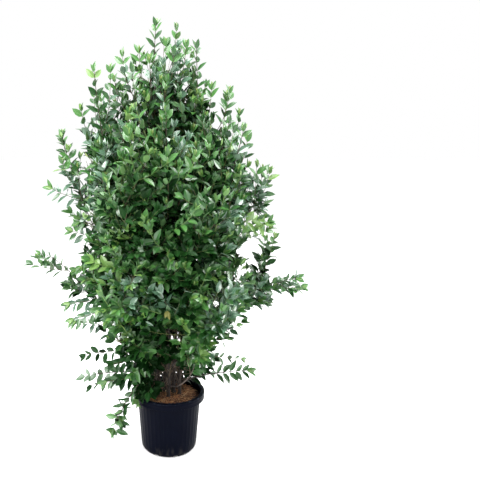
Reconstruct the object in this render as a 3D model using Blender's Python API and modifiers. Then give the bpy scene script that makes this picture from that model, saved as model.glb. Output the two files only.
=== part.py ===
"""Potted privet: a many-stemmed leafy shrub, 1.6 m tall, growing in a round nursery pot.

Metres, +Z up. The origin is the centre of the pot's underside, and the plant's front faces -Y.
Nine stems rise from the soil. Each ends where it enters a mass of foliage, and the outer six also
bear side boughs, each with a mass of its own. A mass is one solid: a leading shoot, its opposite
side twigs and their paired leaves. Leaves are fewer and larger than life, so that the crown looks
as full as the real one.
"""

import math
import random
from typing import NamedTuple

import bmesh
import bpy
from mathutils import Matrix, Vector
from mathutils.bvhtree import BVHTree
from mathutils.kdtree import KDTree

GAP = 0.00035  # clearance between solids that touch on the real plant
UP = Vector((0, 0, 1))
SEED = 7
MERGE_DISTANCE = 1e-5
CREASE = math.radians(60)  # steeper edges stay sharp
UPRIGHT = 0.05  # with less lean than this a direction counts as straight up

# Pot: a 15 litre container with a rolled rim
POT_HEIGHT = 0.270
RIM_RADIUS = 0.160
RIM_DEPTH = 0.031
RIM_WIDTH = 0.017
RIM_ROUNDING = 0.004
RIM_DRAW_IN = 0.0015  # from the rim's widest part to its lower edge
WALL_TOP_RADIUS = 0.140
WALL_FOOT_RADIUS = 0.1225
FOOT_RADIUS = 0.112
FOOT_HEIGHT = 0.015
FOOT_CHAMFER = 0.004
POT_WALL = 0.0028
POT_FLOOR = 0.004
POT_STEPS = 36
DRAIN_HOLES = 8
DRAIN_WIDTH = 0.022
DRAIN_HEIGHT = 0.009
DRAIN_DEPTH = 0.020
DRAIN_TURN = 0.35  # how far round the first hole is, in steps between holes

# Soil and root ball
SOIL_HEIGHT = 0.252
SOIL_EDGE_DROP = 0.009
SOIL_EDGE_RISE = 0.002  # of the soil just inside the pot's wall
SOIL_FLAT_RADIUS = 0.072
SOIL_STEPS = 18  # a divisor of the pot's steps, so that its corners nest in the pot's

# Stems and boughs
INNER_FOOT_REACH = 0.020  # how far from the axis the stems leave the soil
OUTER_FOOT_REACH = 0.054
FLARE = 1.5  # a stem's girth at the soil, against just above
FLARE_HEIGHT = 0.035
LIMB_SWAY = 0.006
SWAY_WAVES = 2
LIMB_OUTWARD = 0.5  # how far limbs lean out where they enter a mass
LIMB_LIFT = 0.15
STEM_HANDLE = 0.30  # of a limb's length, how far its end directions hold
BOUGH_HANDLE = 0.35
STEM_POINTS = 7
STEM_SIDES = 6
BOUGH_POINTS = 5
BOUGH_SIDES = 5
FORK_SPREAD = 0.9  # how far a bough leans out of its stem where they meet, 0 to 1
UNEVEN = 0.08  # how far a limb's ends stray from its tier's heights, as a share of the heights

# Foliage
LEAVES = 19  # at most, in one mass
LEAF_LENGTH = 0.140
LEAF_WIDTH = 0.080
LEAF_THICKNESS = 0.0026
LEAF_ROOT_THICKNESS = 0.0018
LEAF_WIDEST = 0.45  # where on its length a leaf is widest
LEAF_ROOT = 0.16  # of its length, which may touch the twig that it grows on
LEAF_SIZES = (1.0, 0.85, 0.7)  # tried in turn where space is short
LEAF_LEAN = math.radians(52)  # between a leaf and its twig
TIP_LEAF_LEAN = math.radians(27)  # and for the pair at a twig's end
TIP_LEAF_SIZE = 0.62
LEAF_LIFT = 0.15
LEAF_SPREAD = 0.7  # how far the leaves of level shoots turn to each hand
LEAF_SWAY = 0.3
LEAF_VARIETY = (0.88, 1.08)  # in length
LIGHT_SLANT = 0.9  # how far outwards from straight up the leaves of level shoots face
TIP_LEAF_REACH = LEAF_LENGTH * TIP_LEAF_SIZE * math.cos(TIP_LEAF_LEAN)
LEAF_SPACING = 0.030  # between the middles of any two leaves
LEADER_NODES = (0.985, 0.83, 0.55, 0.30)  # where leaf pairs grow, the most needed first
TWIG_NODES = (0.955, 0.60, 0.33, 0.78)
FORKS = (0.12, 0.40, 0.68)  # where a leading shoot bears pairs of side twigs
FORK_TURN = math.radians(85)  # between one such pair and the next
LEADER_BEND = 0.5  # where on its length a leading shoot bends
COLLAR = 0.012  # its straight start, square to the limb's end
TWIG_LEAN = math.radians(48)  # between a side twig and its leading shoot
TWIG_SWAY = 0.35
TWIG_UPTURN = 0.8
TWIG_SHORTENING = 0.45  # of the side twigs towards the leading shoot's tip
TWIG_VARIETY = (0.85, 1.15)  # in length
TWIG_SIZES = (1.0, 0.8, 0.62, 0.46)  # tried in turn where space is short
TWIG_RADII = (0.0032, 0.0026)
TWIG_ROOT_RADIUS = 0.0016  # where it springs from the middle of its leading shoot
TWIG_POINTS = 3
LEADER_POINTS = 5
LEADER_TIP_RADIUS = 0.0027
SHOOT_SIDES = 3
BARE_HEIGHT = 0.385  # over the pot, the stems bear no leaves up to here
SPACE_MARGIN = 0.002  # kept from the neighbouring masses
LIMB_MARGIN = 0.002
LEADER_STEPS = 24  # between the places on a leading shoot that stand for it


class Tip(NamedTuple):
    """Where a mass's highest leaves end."""

    azimuth: float  # degrees about +Z from +X, which is to the right of someone facing the plant
    reach: float  # from the axis
    height: float


class Tier(NamedTuple):
    """The masses at one level of the crown, and the limbs that carry them."""

    name: str
    limb: str  # what its limbs are called
    fork_height: float  # where its boughs leave the outer stems; stems start at the soil
    entry_height: float  # where a limb enters its mass
    entry_share: float  # how far out that is, as a share of the shoot's reach
    limb_radii: tuple  # at its two ends
    twig_length: float
    upturn: float  # how strongly its twigs turn up to the light, 0 to 1
    tips: tuple


TIERS = (
    Tier("top", "stem", SOIL_HEIGHT, 1.20, 0.75, (0.0078, 0.0043), 0.240, 0.75,
         (Tip(178, 0.050, 1.880), Tip(352, 0.108, 1.790), Tip(84, 0.130, 1.740))),
    Tier("shoulder", "stem", SOIL_HEIGHT, 1.00, 0.54, (0.0072, 0.0040), 0.240, 0.65,
         (Tip(30, 0.290, 1.600), Tip(90, 0.280, 1.560), Tip(150, 0.350, 1.600),
          Tip(205, 0.325, 1.695), Tip(268, 0.290, 1.540), Tip(330, 0.345, 1.465))),
    Tier("upper", "bough", 0.560, 0.800, 0.48, (0.0046, 0.0034), 0.240, 0.50,
         (Tip(4, 0.432, 1.272), Tip(62, 0.430, 1.310), Tip(122, 0.440, 1.350),
          Tip(182, 0.450, 1.420), Tip(238, 0.445, 1.280), Tip(300, 0.425, 1.230))),
    Tier("inner", "bough", 0.470, 0.640, 0.42, (0.0043, 0.0032), 0.230, 0.45,
         (Tip(270, 0.370, 1.060), Tip(91, 0.370, 1.040))),
    Tier("middle", "bough", 0.390, 0.520, 0.38, (0.0044, 0.0032), 0.230, 0.30,
         (Tip(357, 0.582, 0.797), Tip(55, 0.480, 0.900), Tip(116, 0.490, 0.930),
          Tip(183, 0.582, 0.906), Tip(236, 0.480, 0.850), Tip(297, 0.470, 0.790))),
    Tier("skirt", "bough", 0.310, 0.350, 0.42, (0.0038, 0.0030), 0.210, 0.15,
         (Tip(346, 0.385, 0.400), Tip(58, 0.400, 0.500), Tip(120, 0.410, 0.440),
          Tip(178, 0.412, 0.320), Tip(213, 0.300, 0.130), Tip(286, 0.385, 0.560))),
)

# The crown's outline against the sky: height, reach to the left (-X) and to the right (+X)
OUTLINE = (
    (0.20, 0.28, 0.24),
    (0.40, 0.38, 0.37),
    (0.62, 0.47, 0.42),
    (0.85, 0.50, 0.47),
    (1.05, 0.50, 0.46),
    (1.20, 0.53, 0.44),
    (1.30, 0.47, 0.43),
    (1.45, 0.43, 0.35),
    (1.60, 0.35, 0.28),
    (1.74, 0.26, 0.17),
    (1.90, 0.11, 0.10),
)


class Limb(NamedTuple):
    """A tapering stem, bough or twig along its middle line."""

    name: str
    points: list
    radii: list


class Mass(NamedTuple):
    """One mass of foliage, round its leading shoot."""

    name: str
    tier: Tier
    leader: Limb


def polar(azimuth, reach, height):
    """A point from its direction in degrees, its distance from the axis and its height."""
    turn = math.radians(azimuth)
    return Vector((reach * math.cos(turn), reach * math.sin(turn), height))


def bezier(controls, share):
    """A point on the Bezier curve with these control points."""
    points = list(controls)
    while len(points) > 1:
        points = [a.lerp(b, share) for a, b in zip(points, points[1:])]
    return points[0]


def along(points, share):
    """The point at a share of a line of points, and the line's direction there."""
    place = min(max(share, 0.0), 1.0) * (len(points) - 1)
    index = min(int(place), len(points) - 2)
    start, end = points[index], points[index + 1]
    return start.lerp(end, place - index), (end - start).normalized()


def at_height(points, height):
    """Where a rising line of points passes a height, and its direction there."""
    for start, end in zip(points, points[1:]):
        if start.z <= height <= end.z:
            share = (height - start.z) / (end.z - start.z)
            return start.lerp(end, share), (end - start).normalized()
    raise ValueError(f"no point of the limb is {height} m high")


def across(direction, turn):
    """The unit vector at right angles to a direction, turned about it from level."""
    level = direction.cross(UP)
    if level.length < UPRIGHT:
        level = Vector((1, 0, 0)) - direction * direction.x
    level.normalize()
    return Matrix.Rotation(turn, 3, direction) @ level


def taper(first, last, count):
    """Radii that thin evenly from one end to the other."""
    return [first + (last - first) * index / (count - 1) for index in range(count)]


def material(name, colour, roughness):
    """A plain surface."""
    made = bpy.data.materials.new(name)
    made.use_nodes = True
    shader = made.node_tree.nodes["Principled BSDF"]
    shader.inputs["Base Color"].default_value = (*colour, 1)
    shader.inputs["Roughness"].default_value = roughness
    shader.inputs["Metallic"].default_value = 0
    return made


def make_collection(name):
    """A collection in the scene."""
    made = bpy.data.collections.new(name)
    bpy.context.scene.collection.children.link(made)
    return made


def add(collection, name, mesh, finish=None):
    """An object for this mesh."""
    made = bpy.data.objects.new(name, mesh)
    collection.objects.link(made)
    if finish:
        mesh.materials.clear()
        mesh.materials.append(finish)
    return made


def add_cutter(cutters, name, mesh):
    """An object that only cuts others."""
    cutter = add(cutters, name, mesh)
    cutter.hide_render = True
    cutter.display_type = "WIRE"
    return cutter


def cut_by(thing, cutter):
    """Takes the cutter's shape out of an object."""
    cut = thing.modifiers.new(cutter.name, "BOOLEAN")
    cut.operation = "DIFFERENCE"
    cut.solver = "EXACT"
    cut.object = cutter


def evaluated_mesh(thing):
    """A new mesh of the object with its modifiers, or of a curve with its bevel."""
    bpy.context.view_layer.update()
    graph = bpy.context.evaluated_depsgraph_get()
    return bpy.data.meshes.new_from_object(thing.evaluated_get(graph))


def tube_mesh(name, points, radii, sides):
    """The closed mesh of a tapering rod with this many sides."""
    ring = bpy.data.curves.new("ring", "CURVE")
    outline = ring.splines.new("POLY")
    outline.points.add(sides - 1)
    outline.use_cyclic_u = True
    for index, point in enumerate(outline.points):
        turn = math.tau * index / sides
        point.co = (math.cos(turn), math.sin(turn), 0, 1)
    ring_object = add(bpy.context.scene.collection, "ring", ring)

    rod = bpy.data.curves.new(name, "CURVE")
    rod.dimensions = "3D"
    rod.bevel_mode = "OBJECT"
    rod.bevel_object = ring_object
    rod.use_fill_caps = True
    spline = rod.splines.new("POLY")
    spline.points.add(len(points) - 1)
    for target, point, radius in zip(spline.points, points, radii):
        target.co = (*point, 1)
        target.radius = radius
    rod_object = add(bpy.context.scene.collection, name, rod)
    mesh = evaluated_mesh(rod_object)
    mesh.name = name
    for thing, data in ((rod_object, rod), (ring_object, ring)):
        bpy.data.objects.remove(thing)
        bpy.data.curves.remove(data)

    shape = bmesh.new()
    shape.from_mesh(mesh)
    bmesh.ops.remove_doubles(shape, verts=shape.verts, dist=MERGE_DISTANCE)
    bmesh.ops.recalc_face_normals(shape, faces=shape.faces)
    shape.to_mesh(mesh)
    shape.free()
    mesh.shade_smooth()
    mesh.set_sharp_from_angle(angle=CREASE)
    return mesh


def turned(collection, name, profile, steps, finish):
    """A solid turned about Z from (radius, height) points, listed down its outer side."""
    mesh = bpy.data.meshes.new(name)
    shape = bmesh.new()
    corners = [shape.verts.new((radius, 0, height)) for radius, height in profile]
    for start, end in zip(corners, corners[1:]):
        shape.edges.new((start, end))
    shape.to_mesh(mesh)
    shape.free()
    made = add(collection, name, mesh, finish)
    screw = made.modifiers.new("Turn", "SCREW")
    screw.steps = screw.render_steps = steps
    screw.use_merge_vertices = True
    screw.merge_threshold = MERGE_DISTANCE
    screw.use_smooth_shade = True
    return made


def make_pot(parts, cutters):
    """The pot: a thin tapered wall, a hollow rim rolled outwards, and drain holes at the foot."""
    rim_foot = POT_HEIGHT - RIM_DEPTH
    rim_inside = RIM_RADIUS - RIM_WIDTH
    rim_shoulder = POT_HEIGHT - RIM_ROUNDING
    skirt_radius = RIM_RADIUS - RIM_DRAW_IN
    profile = (
        (0, POT_FLOOR),
        (FOOT_RADIUS - POT_WALL, POT_FLOOR),
        (WALL_FOOT_RADIUS - POT_WALL, FOOT_HEIGHT + POT_WALL),
        (WALL_TOP_RADIUS - POT_WALL, rim_foot),
        (rim_inside, rim_shoulder),
        (rim_inside + RIM_ROUNDING, POT_HEIGHT),
        (RIM_RADIUS - RIM_ROUNDING, POT_HEIGHT),
        (RIM_RADIUS, rim_shoulder),
        (skirt_radius, rim_foot),
        (skirt_radius - POT_WALL, rim_foot),
        (RIM_RADIUS - RIM_ROUNDING, rim_shoulder),
        (rim_inside + RIM_ROUNDING, rim_shoulder),
        (WALL_TOP_RADIUS, rim_foot),
        (WALL_FOOT_RADIUS, FOOT_HEIGHT),
        (WALL_FOOT_RADIUS - FOOT_CHAMFER, FOOT_HEIGHT / 2),
        (FOOT_RADIUS, FOOT_HEIGHT / 2),
        (FOOT_RADIUS, 0),
        (0, 0),
    )
    plastic = material("Pot plastic", (0.012, 0.014, 0.022), 0.4)
    pot = turned(parts, "pot", profile, POT_STEPS, plastic)
    for index in range(DRAIN_HOLES):
        shape = bmesh.new()
        bmesh.ops.create_cube(shape, size=1)
        size = (DRAIN_DEPTH, DRAIN_WIDTH, 2 * DRAIN_HEIGHT)
        bmesh.ops.scale(shape, vec=size, verts=shape.verts)
        mesh = bpy.data.meshes.new("drain_cutter")
        shape.to_mesh(mesh)
        shape.free()
        cutter = add_cutter(cutters, f"drain_cutter_{index}", mesh)
        azimuth = 360 * (index + DRAIN_TURN) / DRAIN_HOLES
        cutter.location = polar(azimuth, FOOT_RADIUS - DRAIN_DEPTH / 4, -DRAIN_HEIGHT / 4)
        cutter.rotation_euler.z = math.radians(azimuth)
        cut_by(pot, cutter)


def make_root_ball(parts):
    """The soil and roots that fill the pot, with a flat top where the stems stand."""
    clear = POT_WALL + GAP
    top_radius = WALL_TOP_RADIUS - clear
    edge_height = SOIL_HEIGHT - SOIL_EDGE_DROP
    profile = (
        (0, SOIL_HEIGHT),
        (SOIL_FLAT_RADIUS, SOIL_HEIGHT),
        (top_radius - SOIL_EDGE_DROP, edge_height + SOIL_EDGE_RISE),
        (top_radius, edge_height),
        (top_radius, POT_HEIGHT - RIM_DEPTH),
        (WALL_FOOT_RADIUS - clear, FOOT_HEIGHT + clear),
        (FOOT_RADIUS - clear, POT_FLOOR + GAP),
        (0, POT_FLOOR + GAP),
    )
    mulch = material("Bark mulch", (0.16, 0.075, 0.032), 0.95)
    turned(parts, "root_ball", profile, SOIL_STEPS, mulch)


def swaying(controls, count, rng):
    """Points on a Bezier curve, bent a little to each side between its ends."""
    phase = rng.uniform(0, math.tau)
    side = Vector((math.cos(phase), math.sin(phase), 0))
    points = []
    for index in range(count):
        share = index / (count - 1)
        wave = math.sin(SWAY_WAVES * math.tau * share + phase)
        bend = LIMB_SWAY * math.sin(math.pi * share) * wave
        points.append(bezier(controls, share) + side * bend)
    return points


def uneven(height, rng):
    """A height that strays a little, the more so the higher it is above the soil."""
    return height + (height - SOIL_HEIGHT) * rng.uniform(-UNEVEN, UNEVEN)


def heading_of(tier, entry, tip):
    """The direction in which a limb enters its mass: to the mass's tip, and a little outwards."""
    outwards = Vector((entry.x, entry.y, 0)).normalized()
    lean = outwards * (1 - tier.upturn) * LIMB_OUTWARD + UP * LIMB_LIFT
    return ((tip - entry).normalized() + lean).normalized()


def stem_to(tier, name, foot, entry, heading, rng):
    """A stem: straight up out of the soil with a flared foot, then leaning out to its mass."""
    start = foot + UP * FLARE_HEIGHT
    handle = (entry - start).length * STEM_HANDLE
    controls = (start, start + UP * handle, entry - heading * handle, entry)
    base, tip = tier.limb_radii
    points = [foot] + swaying(controls, STEM_POINTS, rng)
    return Limb(name, points, [base * FLARE] + taper(base, tip, STEM_POINTS))


def bough_to(stem, fork_height, radii, name, entry, heading, rng):
    """A bough that leaves its stem at the fork's height and bends out to its mass."""
    start, rising = at_height(stem.points, fork_height)
    outwards = (entry - start).normalized()
    leaving = (rising * (1 - FORK_SPREAD) + outwards * FORK_SPREAD).normalized()
    handle = (entry - start).length * BOUGH_HANDLE
    controls = (start, start + leaving * handle, entry - heading * handle, entry)
    points = swaying(controls, BOUGH_POINTS, rng)
    return Limb(name, points, taper(*radii, BOUGH_POINTS))


def make_limbs(parts, cutters, bark):
    """Makes every stem and bough. Returns them by tier name, in the order of the tier's tips."""
    limbs = {}
    forking = []  # the outer stems, each with the cutter that seats boughs on it
    for tier in TIERS:
        limbs[tier.name] = []
        for index, tip in enumerate(tier.tips):
            name = f"{tier.limb}_{tier.name}_{index + 1}"
            rng = random.Random(f"{SEED} {name}")
            fork_height = uneven(tier.fork_height, rng)
            entry_height = uneven(tier.entry_height, rng)
            entry = polar(tip.azimuth, tip.reach * tier.entry_share, entry_height)
            heading = heading_of(tier, entry, polar(*tip))
            if tier.limb == "stem":
                inner = tier.name == "top"
                foot_reach = INNER_FOOT_REACH if inner else OUTER_FOOT_REACH
                foot = polar(tip.azimuth, foot_reach, SOIL_HEIGHT + GAP)
                limb = stem_to(tier, name, foot, entry, heading, rng)
                add(parts, name, tube_mesh(name, limb.points, limb.radii, STEM_SIDES), bark)
                if not inner:
                    wide = [radius + GAP for radius in limb.radii]
                    mesh = tube_mesh(name, limb.points, wide, STEM_SIDES)
                    forking.append((limb, add_cutter(cutters, name + "_cutter", mesh)))
            else:
                stem, cutter = nearest(forking, tip.azimuth)
                limb = bough_to(stem, fork_height, tier.limb_radii, name, entry, heading, rng)
                mesh = tube_mesh(name, limb.points, limb.radii, BOUGH_SIDES)
                cut_by(add(parts, name, mesh, bark), cutter)
            limbs[tier.name].append(limb)
    return limbs


def nearest(forking, azimuth):
    """The outer stem on the side of this azimuth, and its cutter."""
    way = polar(azimuth, 1, 0)
    return max(forking, key=lambda pair: pair[0].points[0].dot(way))


def plan_masses(limbs):
    """Plans every mass, with a leading shoot that goes on from its limb's tip."""
    masses = []
    for tier in TIERS:
        for index, (tip, limb) in enumerate(zip(tier.tips, limbs[tier.name])):
            end, before = limb.points[-1], limb.points[-2]
            heading = (end - before).normalized()
            start = end + heading * GAP
            target = polar(*tip)
            bend = start + heading * (target - start).length * LEADER_BEND
            target -= (target - bend).normalized() * TIP_LEAF_REACH
            collar = start + heading * COLLAR
            steps = [step / (LEADER_POINTS - 2) for step in range(LEADER_POINTS - 1)]
            points = [start] + [bezier((collar, bend, target), step) for step in steps]
            radii = taper(limb.radii[-1], LEADER_TIP_RADIUS, LEADER_POINTS)
            name = f"foliage_{tier.name}_{index + 1}"
            masses.append(Mass(name, tier, Limb(name, points, radii)))
    return masses


def outline_reach(point):
    """How far from the axis the crown goes at this point's height and on its side."""
    height = min(max(point.z, OUTLINE[0][0]), OUTLINE[-1][0])
    for low, high in zip(OUTLINE, OUTLINE[1:]):
        if height <= high[0]:
            share = (height - low[0]) / (high[0] - low[0])
            left = low[1] + (high[1] - low[1]) * share
            right = low[2] + (high[2] - low[2]) * share
            break
    reach = math.hypot(point.x, point.y)
    side = point.x / reach if reach else 0
    return (left + right) / 2 + side * (right - left) / 2


def solid_tree(mesh, matrix=None):
    """A mesh's faces, to test what crosses them."""
    corners = [matrix @ vertex.co if matrix else vertex.co for vertex in mesh.vertices]
    return BVHTree.FromPolygons(corners, [polygon.vertices for polygon in mesh.polygons])


def rod_tree(limb, extra=0.0):
    """The faces of a limb, this much thicker than it is."""
    mesh = tube_mesh(limb.name, limb.points, [radius + extra for radius in limb.radii], SHOOT_SIDES)
    tree = solid_tree(mesh)
    bpy.data.meshes.remove(mesh)
    return tree


def nearest_of(limbs):
    """Finds how far a point is from the nearest of these limbs."""
    shares = [step / LEADER_STEPS for step in range(LEADER_STEPS + 1)]
    places = [along(limb.points, share)[0] for limb in limbs for share in shares]
    finder = KDTree(len(places))
    for index, place in enumerate(places):
        finder.insert(place, index)
    finder.balance()
    return lambda point: finder.find(point)[2]


class Space:
    """Where one mass may grow: nearer to its own leading shoot than to any other, inside the
    crown's outline, and clear of the pot, the limbs, the other leading shoots and the twigs and
    leaves that grew before."""

    def __init__(self, mass, masses, rods, grown):
        self.own = nearest_of([mass.leader])
        self.others = nearest_of([other.leader for other in masses if other is not mass])
        self.filled = grown + [tree for name, tree in rods.items() if name != mass.name]

    def holds(self, corners, leading=False):
        """Whether all of these points are in the space. Those of a leading shoot's own leaves may
        pass the crown's outline."""
        return all(
            self.others(corner) - self.own(corner) > SPACE_MARGIN
            and self.clear_of_foot(corner)
            and (leading or math.hypot(corner.x, corner.y) <= outline_reach(corner))
            for corner in corners
        )

    @staticmethod
    def clear_of_foot(point):
        """Whether a point is outside the pot and the open room round the foot of the stems."""
        beside = math.hypot(point.x, point.y) > RIM_RADIUS + LIMB_MARGIN
        return beside or point.z > BARE_HEIGHT

    def free(self, tree):
        """Whether these faces cross nothing that is already there."""
        return not any(thing.overlap(tree) for thing in self.filled)


class Leaf(NamedTuple):
    """A leaf: its root on a twig, its direction, the way its upper side faces, and its length."""

    root: Vector
    way: Vector
    face: Vector
    length: float

    def matrix(self):
        """Places the unit leaf: X to its tip, Y across, Z out of its upper side."""
        side = self.face.cross(self.way)
        turn = Matrix((self.way, side, self.face)).transposed().to_4x4()
        return Matrix.Translation(self.root) @ turn @ Matrix.Scale(self.length, 4)

    def middle(self):
        """The point halfway along."""
        return self.root + self.way * self.length * 0.5


def leaf_on(shoot, share, turn, hand, lean, upturn, length):
    """A leaf that leaves a shoot at a share of its length, turned about it. On level shoots the
    leaves spread to each hand and face up and outwards, to the light."""
    root, way = along(shoot.points, share)
    level = 1 - abs(way.z)
    side = across(way, turn).lerp(across(way, 0) * hand, LEAF_SPREAD * level).normalized()
    out = way * math.cos(lean) + side * math.sin(lean)
    out = (out + UP * LEAF_LIFT * upturn).normalized()
    light = UP + Vector((root.x, root.y, 0)).normalized() * LIGHT_SLANT
    upper = light - out * light.dot(out)
    inner = way - out * way.dot(out)
    face = (inner * (1 - level) + upper * level).normalized()
    return Leaf(root, out, face, length)


class Sprig:
    """Grows the twigs and leaves of one mass."""

    def __init__(self, mass, space, leaf):
        self.mass = mass
        self.space = space
        self.leaf = leaf
        self.rng = random.Random(f"{SEED} {mass.name}")
        self.twigs = []
        self.leaves = []
        self.grown = []  # whole leaves, for the masses that come later
        self.rods = []
        self.blades = []

    def grow(self):
        """Side twigs in opposite pairs up the leading shoot, each pair turned from the last, then
        leaf pairs on all of them: first those at the ends."""
        first_turn = self.rng.uniform(0, math.tau)
        for level, share in enumerate(FORKS):
            for side in (0, math.pi):
                sway = self.rng.uniform(-TWIG_SWAY, TWIG_SWAY)
                self.add_twig(share, first_turn + level * FORK_TURN + side + sway)
        leader = self.mass.leader
        turns = [self.rng.uniform(0, math.tau) for _ in self.twigs]
        for pair, (leader_share, share) in enumerate(zip(LEADER_NODES, TWIG_NODES)):
            quarter = pair * math.pi / 2
            self.add_pair(leader, leader_share, first_turn + quarter, pair == 0)
            for twig, turn in zip(self.twigs, turns):
                self.add_pair(twig, share, turn + quarter, pair == 0)

    def add_twig(self, share, turn):
        """A side twig that leans out and then turns up, if the space has room for one."""
        tier = self.mass.tier
        start, way = along(self.mass.leader.points, share)
        out = (way * math.cos(TWIG_LEAN) + across(way, turn) * math.sin(TWIG_LEAN)).normalized()
        up = out.lerp(UP, tier.upturn * TWIG_UPTURN).normalized()
        full = tier.twig_length * (1 - TWIG_SHORTENING * share) * self.rng.uniform(*TWIG_VARIETY)
        for size in TWIG_SIZES:
            half = full * size / 2
            controls = (start, start + out * half, start + (out + up) * half)
            points = [bezier(controls, step / (TWIG_POINTS - 1)) for step in range(TWIG_POINTS)]
            radii = [TWIG_ROOT_RADIUS] + taper(*TWIG_RADII, TWIG_POINTS - 1)
            name = f"{self.mass.name}_twig_{len(self.twigs) + 1}"
            twig = Limb(name, points, radii)
            leaf_end = points[-1] + (points[-1] - points[-2]).normalized() * TIP_LEAF_REACH
            if self.space.holds([*points[1:], leaf_end]):
                tree = rod_tree(twig)
                if self.space.free(tree):
                    self.twigs.append(twig)
                    self.rods.append(tree)
                    return

    def add_pair(self, shoot, share, turn, terminal):
        """Two opposite leaves, each as large as the space has room for."""
        leading = shoot is self.mass.leader
        hand = 1 if math.cos(turn) > 0 else -1
        lean = TIP_LEAF_LEAN if terminal else LEAF_LEAN
        for side in (1, -1):
            sway = self.rng.uniform(-LEAF_SWAY, LEAF_SWAY) + (0 if side == 1 else math.pi)
            grown = self.rng.uniform(*LEAF_VARIETY) * (TIP_LEAF_SIZE if terminal else 1)
            for size in LEAF_SIZES:
                length = LEAF_LENGTH * size * grown
                upturn = self.mass.tier.upturn
                leaf = leaf_on(shoot, share, turn + sway, hand * side, lean, upturn, length)
                if len(self.leaves) < LEAVES and self.place(leaf, leading):
                    break

    def place(self, leaf, leading):
        """Adds a leaf if it keeps to the space and off the mass's own twigs and leaves."""
        middle = leaf.middle()
        if any((other.middle() - middle).length < LEAF_SPACING for other in self.leaves):
            return False
        matrix = leaf.matrix()
        if not self.space.holds([matrix @ vertex.co for vertex in self.leaf.vertices], leading):
            return False
        whole = solid_tree(self.leaf, matrix)
        outer = matrix @ Matrix.Translation((LEAF_ROOT, 0, 0)) @ Matrix.Scale(1 - LEAF_ROOT, 4)
        blade = solid_tree(self.leaf, outer)
        own = any(tree.overlap(blade) for tree in self.rods + self.blades)
        if own or not self.space.free(whole):
            return False
        self.leaves.append(leaf)
        self.blades.append(blade)
        self.grown.append(whole)
        return True


def leaf_mesh():
    """The unit leaf, 1 long: the hull of five points. Its root is a short upright edge, and it
    arches down from its widest part to its tip."""
    half = LEAF_WIDTH / LEAF_LENGTH / 2
    root = LEAF_ROOT_THICKNESS / LEAF_LENGTH / 2
    thick = LEAF_THICKNESS / LEAF_LENGTH
    corners = (
        (0, 0, root),
        (0, 0, -root),
        (LEAF_WIDEST, half, thick / 2),
        (LEAF_WIDEST, -half, thick / 2),
        (1, 0, -thick * LEAF_WIDEST),
    )
    shape = bmesh.new()
    for corner in corners:
        shape.verts.new(corner)
    bmesh.ops.convex_hull(shape, input=shape.verts)
    bmesh.ops.triangulate(shape, faces=shape.faces)
    mesh = bpy.data.meshes.new("leaf")
    shape.to_mesh(mesh)
    shape.free()
    return mesh


def keep_one_body(mesh):
    """Leaves only the largest connected piece: a loose scrap goes, and a sealed hollow fills."""
    shape = bmesh.new()
    shape.from_mesh(mesh)
    seen = set()
    bodies = []
    for first in shape.verts:
        if first in seen:
            continue
        body = [first]
        seen.add(first)
        for vertex in body:
            for edge in vertex.link_edges:
                other = edge.other_vert(vertex)
                if other not in seen:
                    seen.add(other)
                    body.append(other)
        bodies.append(body)
    bodies.sort(key=len)
    spare = [vertex for body in bodies[:-1] for vertex in body]
    bmesh.ops.delete(shape, geom=spare, context="VERTS")
    shape.to_mesh(mesh)
    shape.free()


def make_foliage(parts, sprig, finish):
    """Joins a mass's twigs and leaves into one solid."""
    name = sprig.mass.name
    pieces = make_collection(name + "_pieces")
    for twig in sprig.twigs:
        add(pieces, twig.name, tube_mesh(twig.name, twig.points, twig.radii, SHOOT_SIDES))
    for index, leaf in enumerate(sprig.leaves):
        add(pieces, f"{name}_leaf_{index}", sprig.leaf).matrix_world = leaf.matrix()
    leader = sprig.mass.leader
    stem = tube_mesh("leader", leader.points, leader.radii, SHOOT_SIDES)
    base = add(bpy.context.scene.collection, "leader", stem)
    union = base.modifiers.new("Union", "BOOLEAN")
    union.operation = "UNION"
    union.operand_type = "COLLECTION"
    union.collection = pieces
    union.solver = "EXACT"
    mesh = evaluated_mesh(base)
    mesh.name = name
    for thing in [base, *pieces.objects]:
        bpy.data.objects.remove(thing)
    bpy.data.collections.remove(pieces)
    keep_one_body(mesh)
    add(parts, name, mesh, finish)


def main():
    """Builds the whole plant and its pot."""
    for thing in list(bpy.data.objects):
        bpy.data.objects.remove(thing)
    parts = make_collection("potted_privet")
    cutters = make_collection("cutters")
    make_pot(parts, cutters)
    make_root_ball(parts)
    limbs = make_limbs(parts, cutters, material("Bark", (0.10, 0.075, 0.055), 0.85))
    masses = plan_masses(limbs)
    leading = [mass.leader for mass in masses]
    every_limb = [limb for tier_limbs in limbs.values() for limb in tier_limbs]
    rods = {limb.name: rod_tree(limb, LIMB_MARGIN) for limb in every_limb + leading}
    leaf = leaf_mesh()
    foliage = material("Privet leaf", (0.045, 0.14, 0.035), 0.45)
    grown = []
    for mass in masses:
        sprig = Sprig(mass, Space(mass, masses, rods, grown), leaf)
        sprig.grow()
        grown += sprig.rods + sprig.grown
        make_foliage(parts, sprig, foliage)
        print(f"{mass.name}: {len(sprig.twigs)} twigs, {len(sprig.leaves)} leaves")


main()
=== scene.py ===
"""Potted privet, dressed: a many-stemmed leafy shrub, 1.6 m tall, in a round nursery pot.

Metres, +Z up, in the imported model's frame. The origin is the centre of the pot's underside, and the
plant's front faces -Y. Stems and boughs get their bark. From each limb's tip a mass of foliage grows
on: a leading shoot, opposite side twigs, finer twigs on those, and paired leaves on all of them.
"""

import logging
import random
from collections.abc import Iterator
from dataclasses import dataclass, field
from enum import Enum
from functools import cached_property
from math import atan2, cos, exp, hypot, inf, pi, radians, sin, sqrt, tau

import bmesh
import bpy
import numpy as np
from mathutils import Matrix, Vector, noise
from mathutils.kdtree import KDTree


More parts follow.
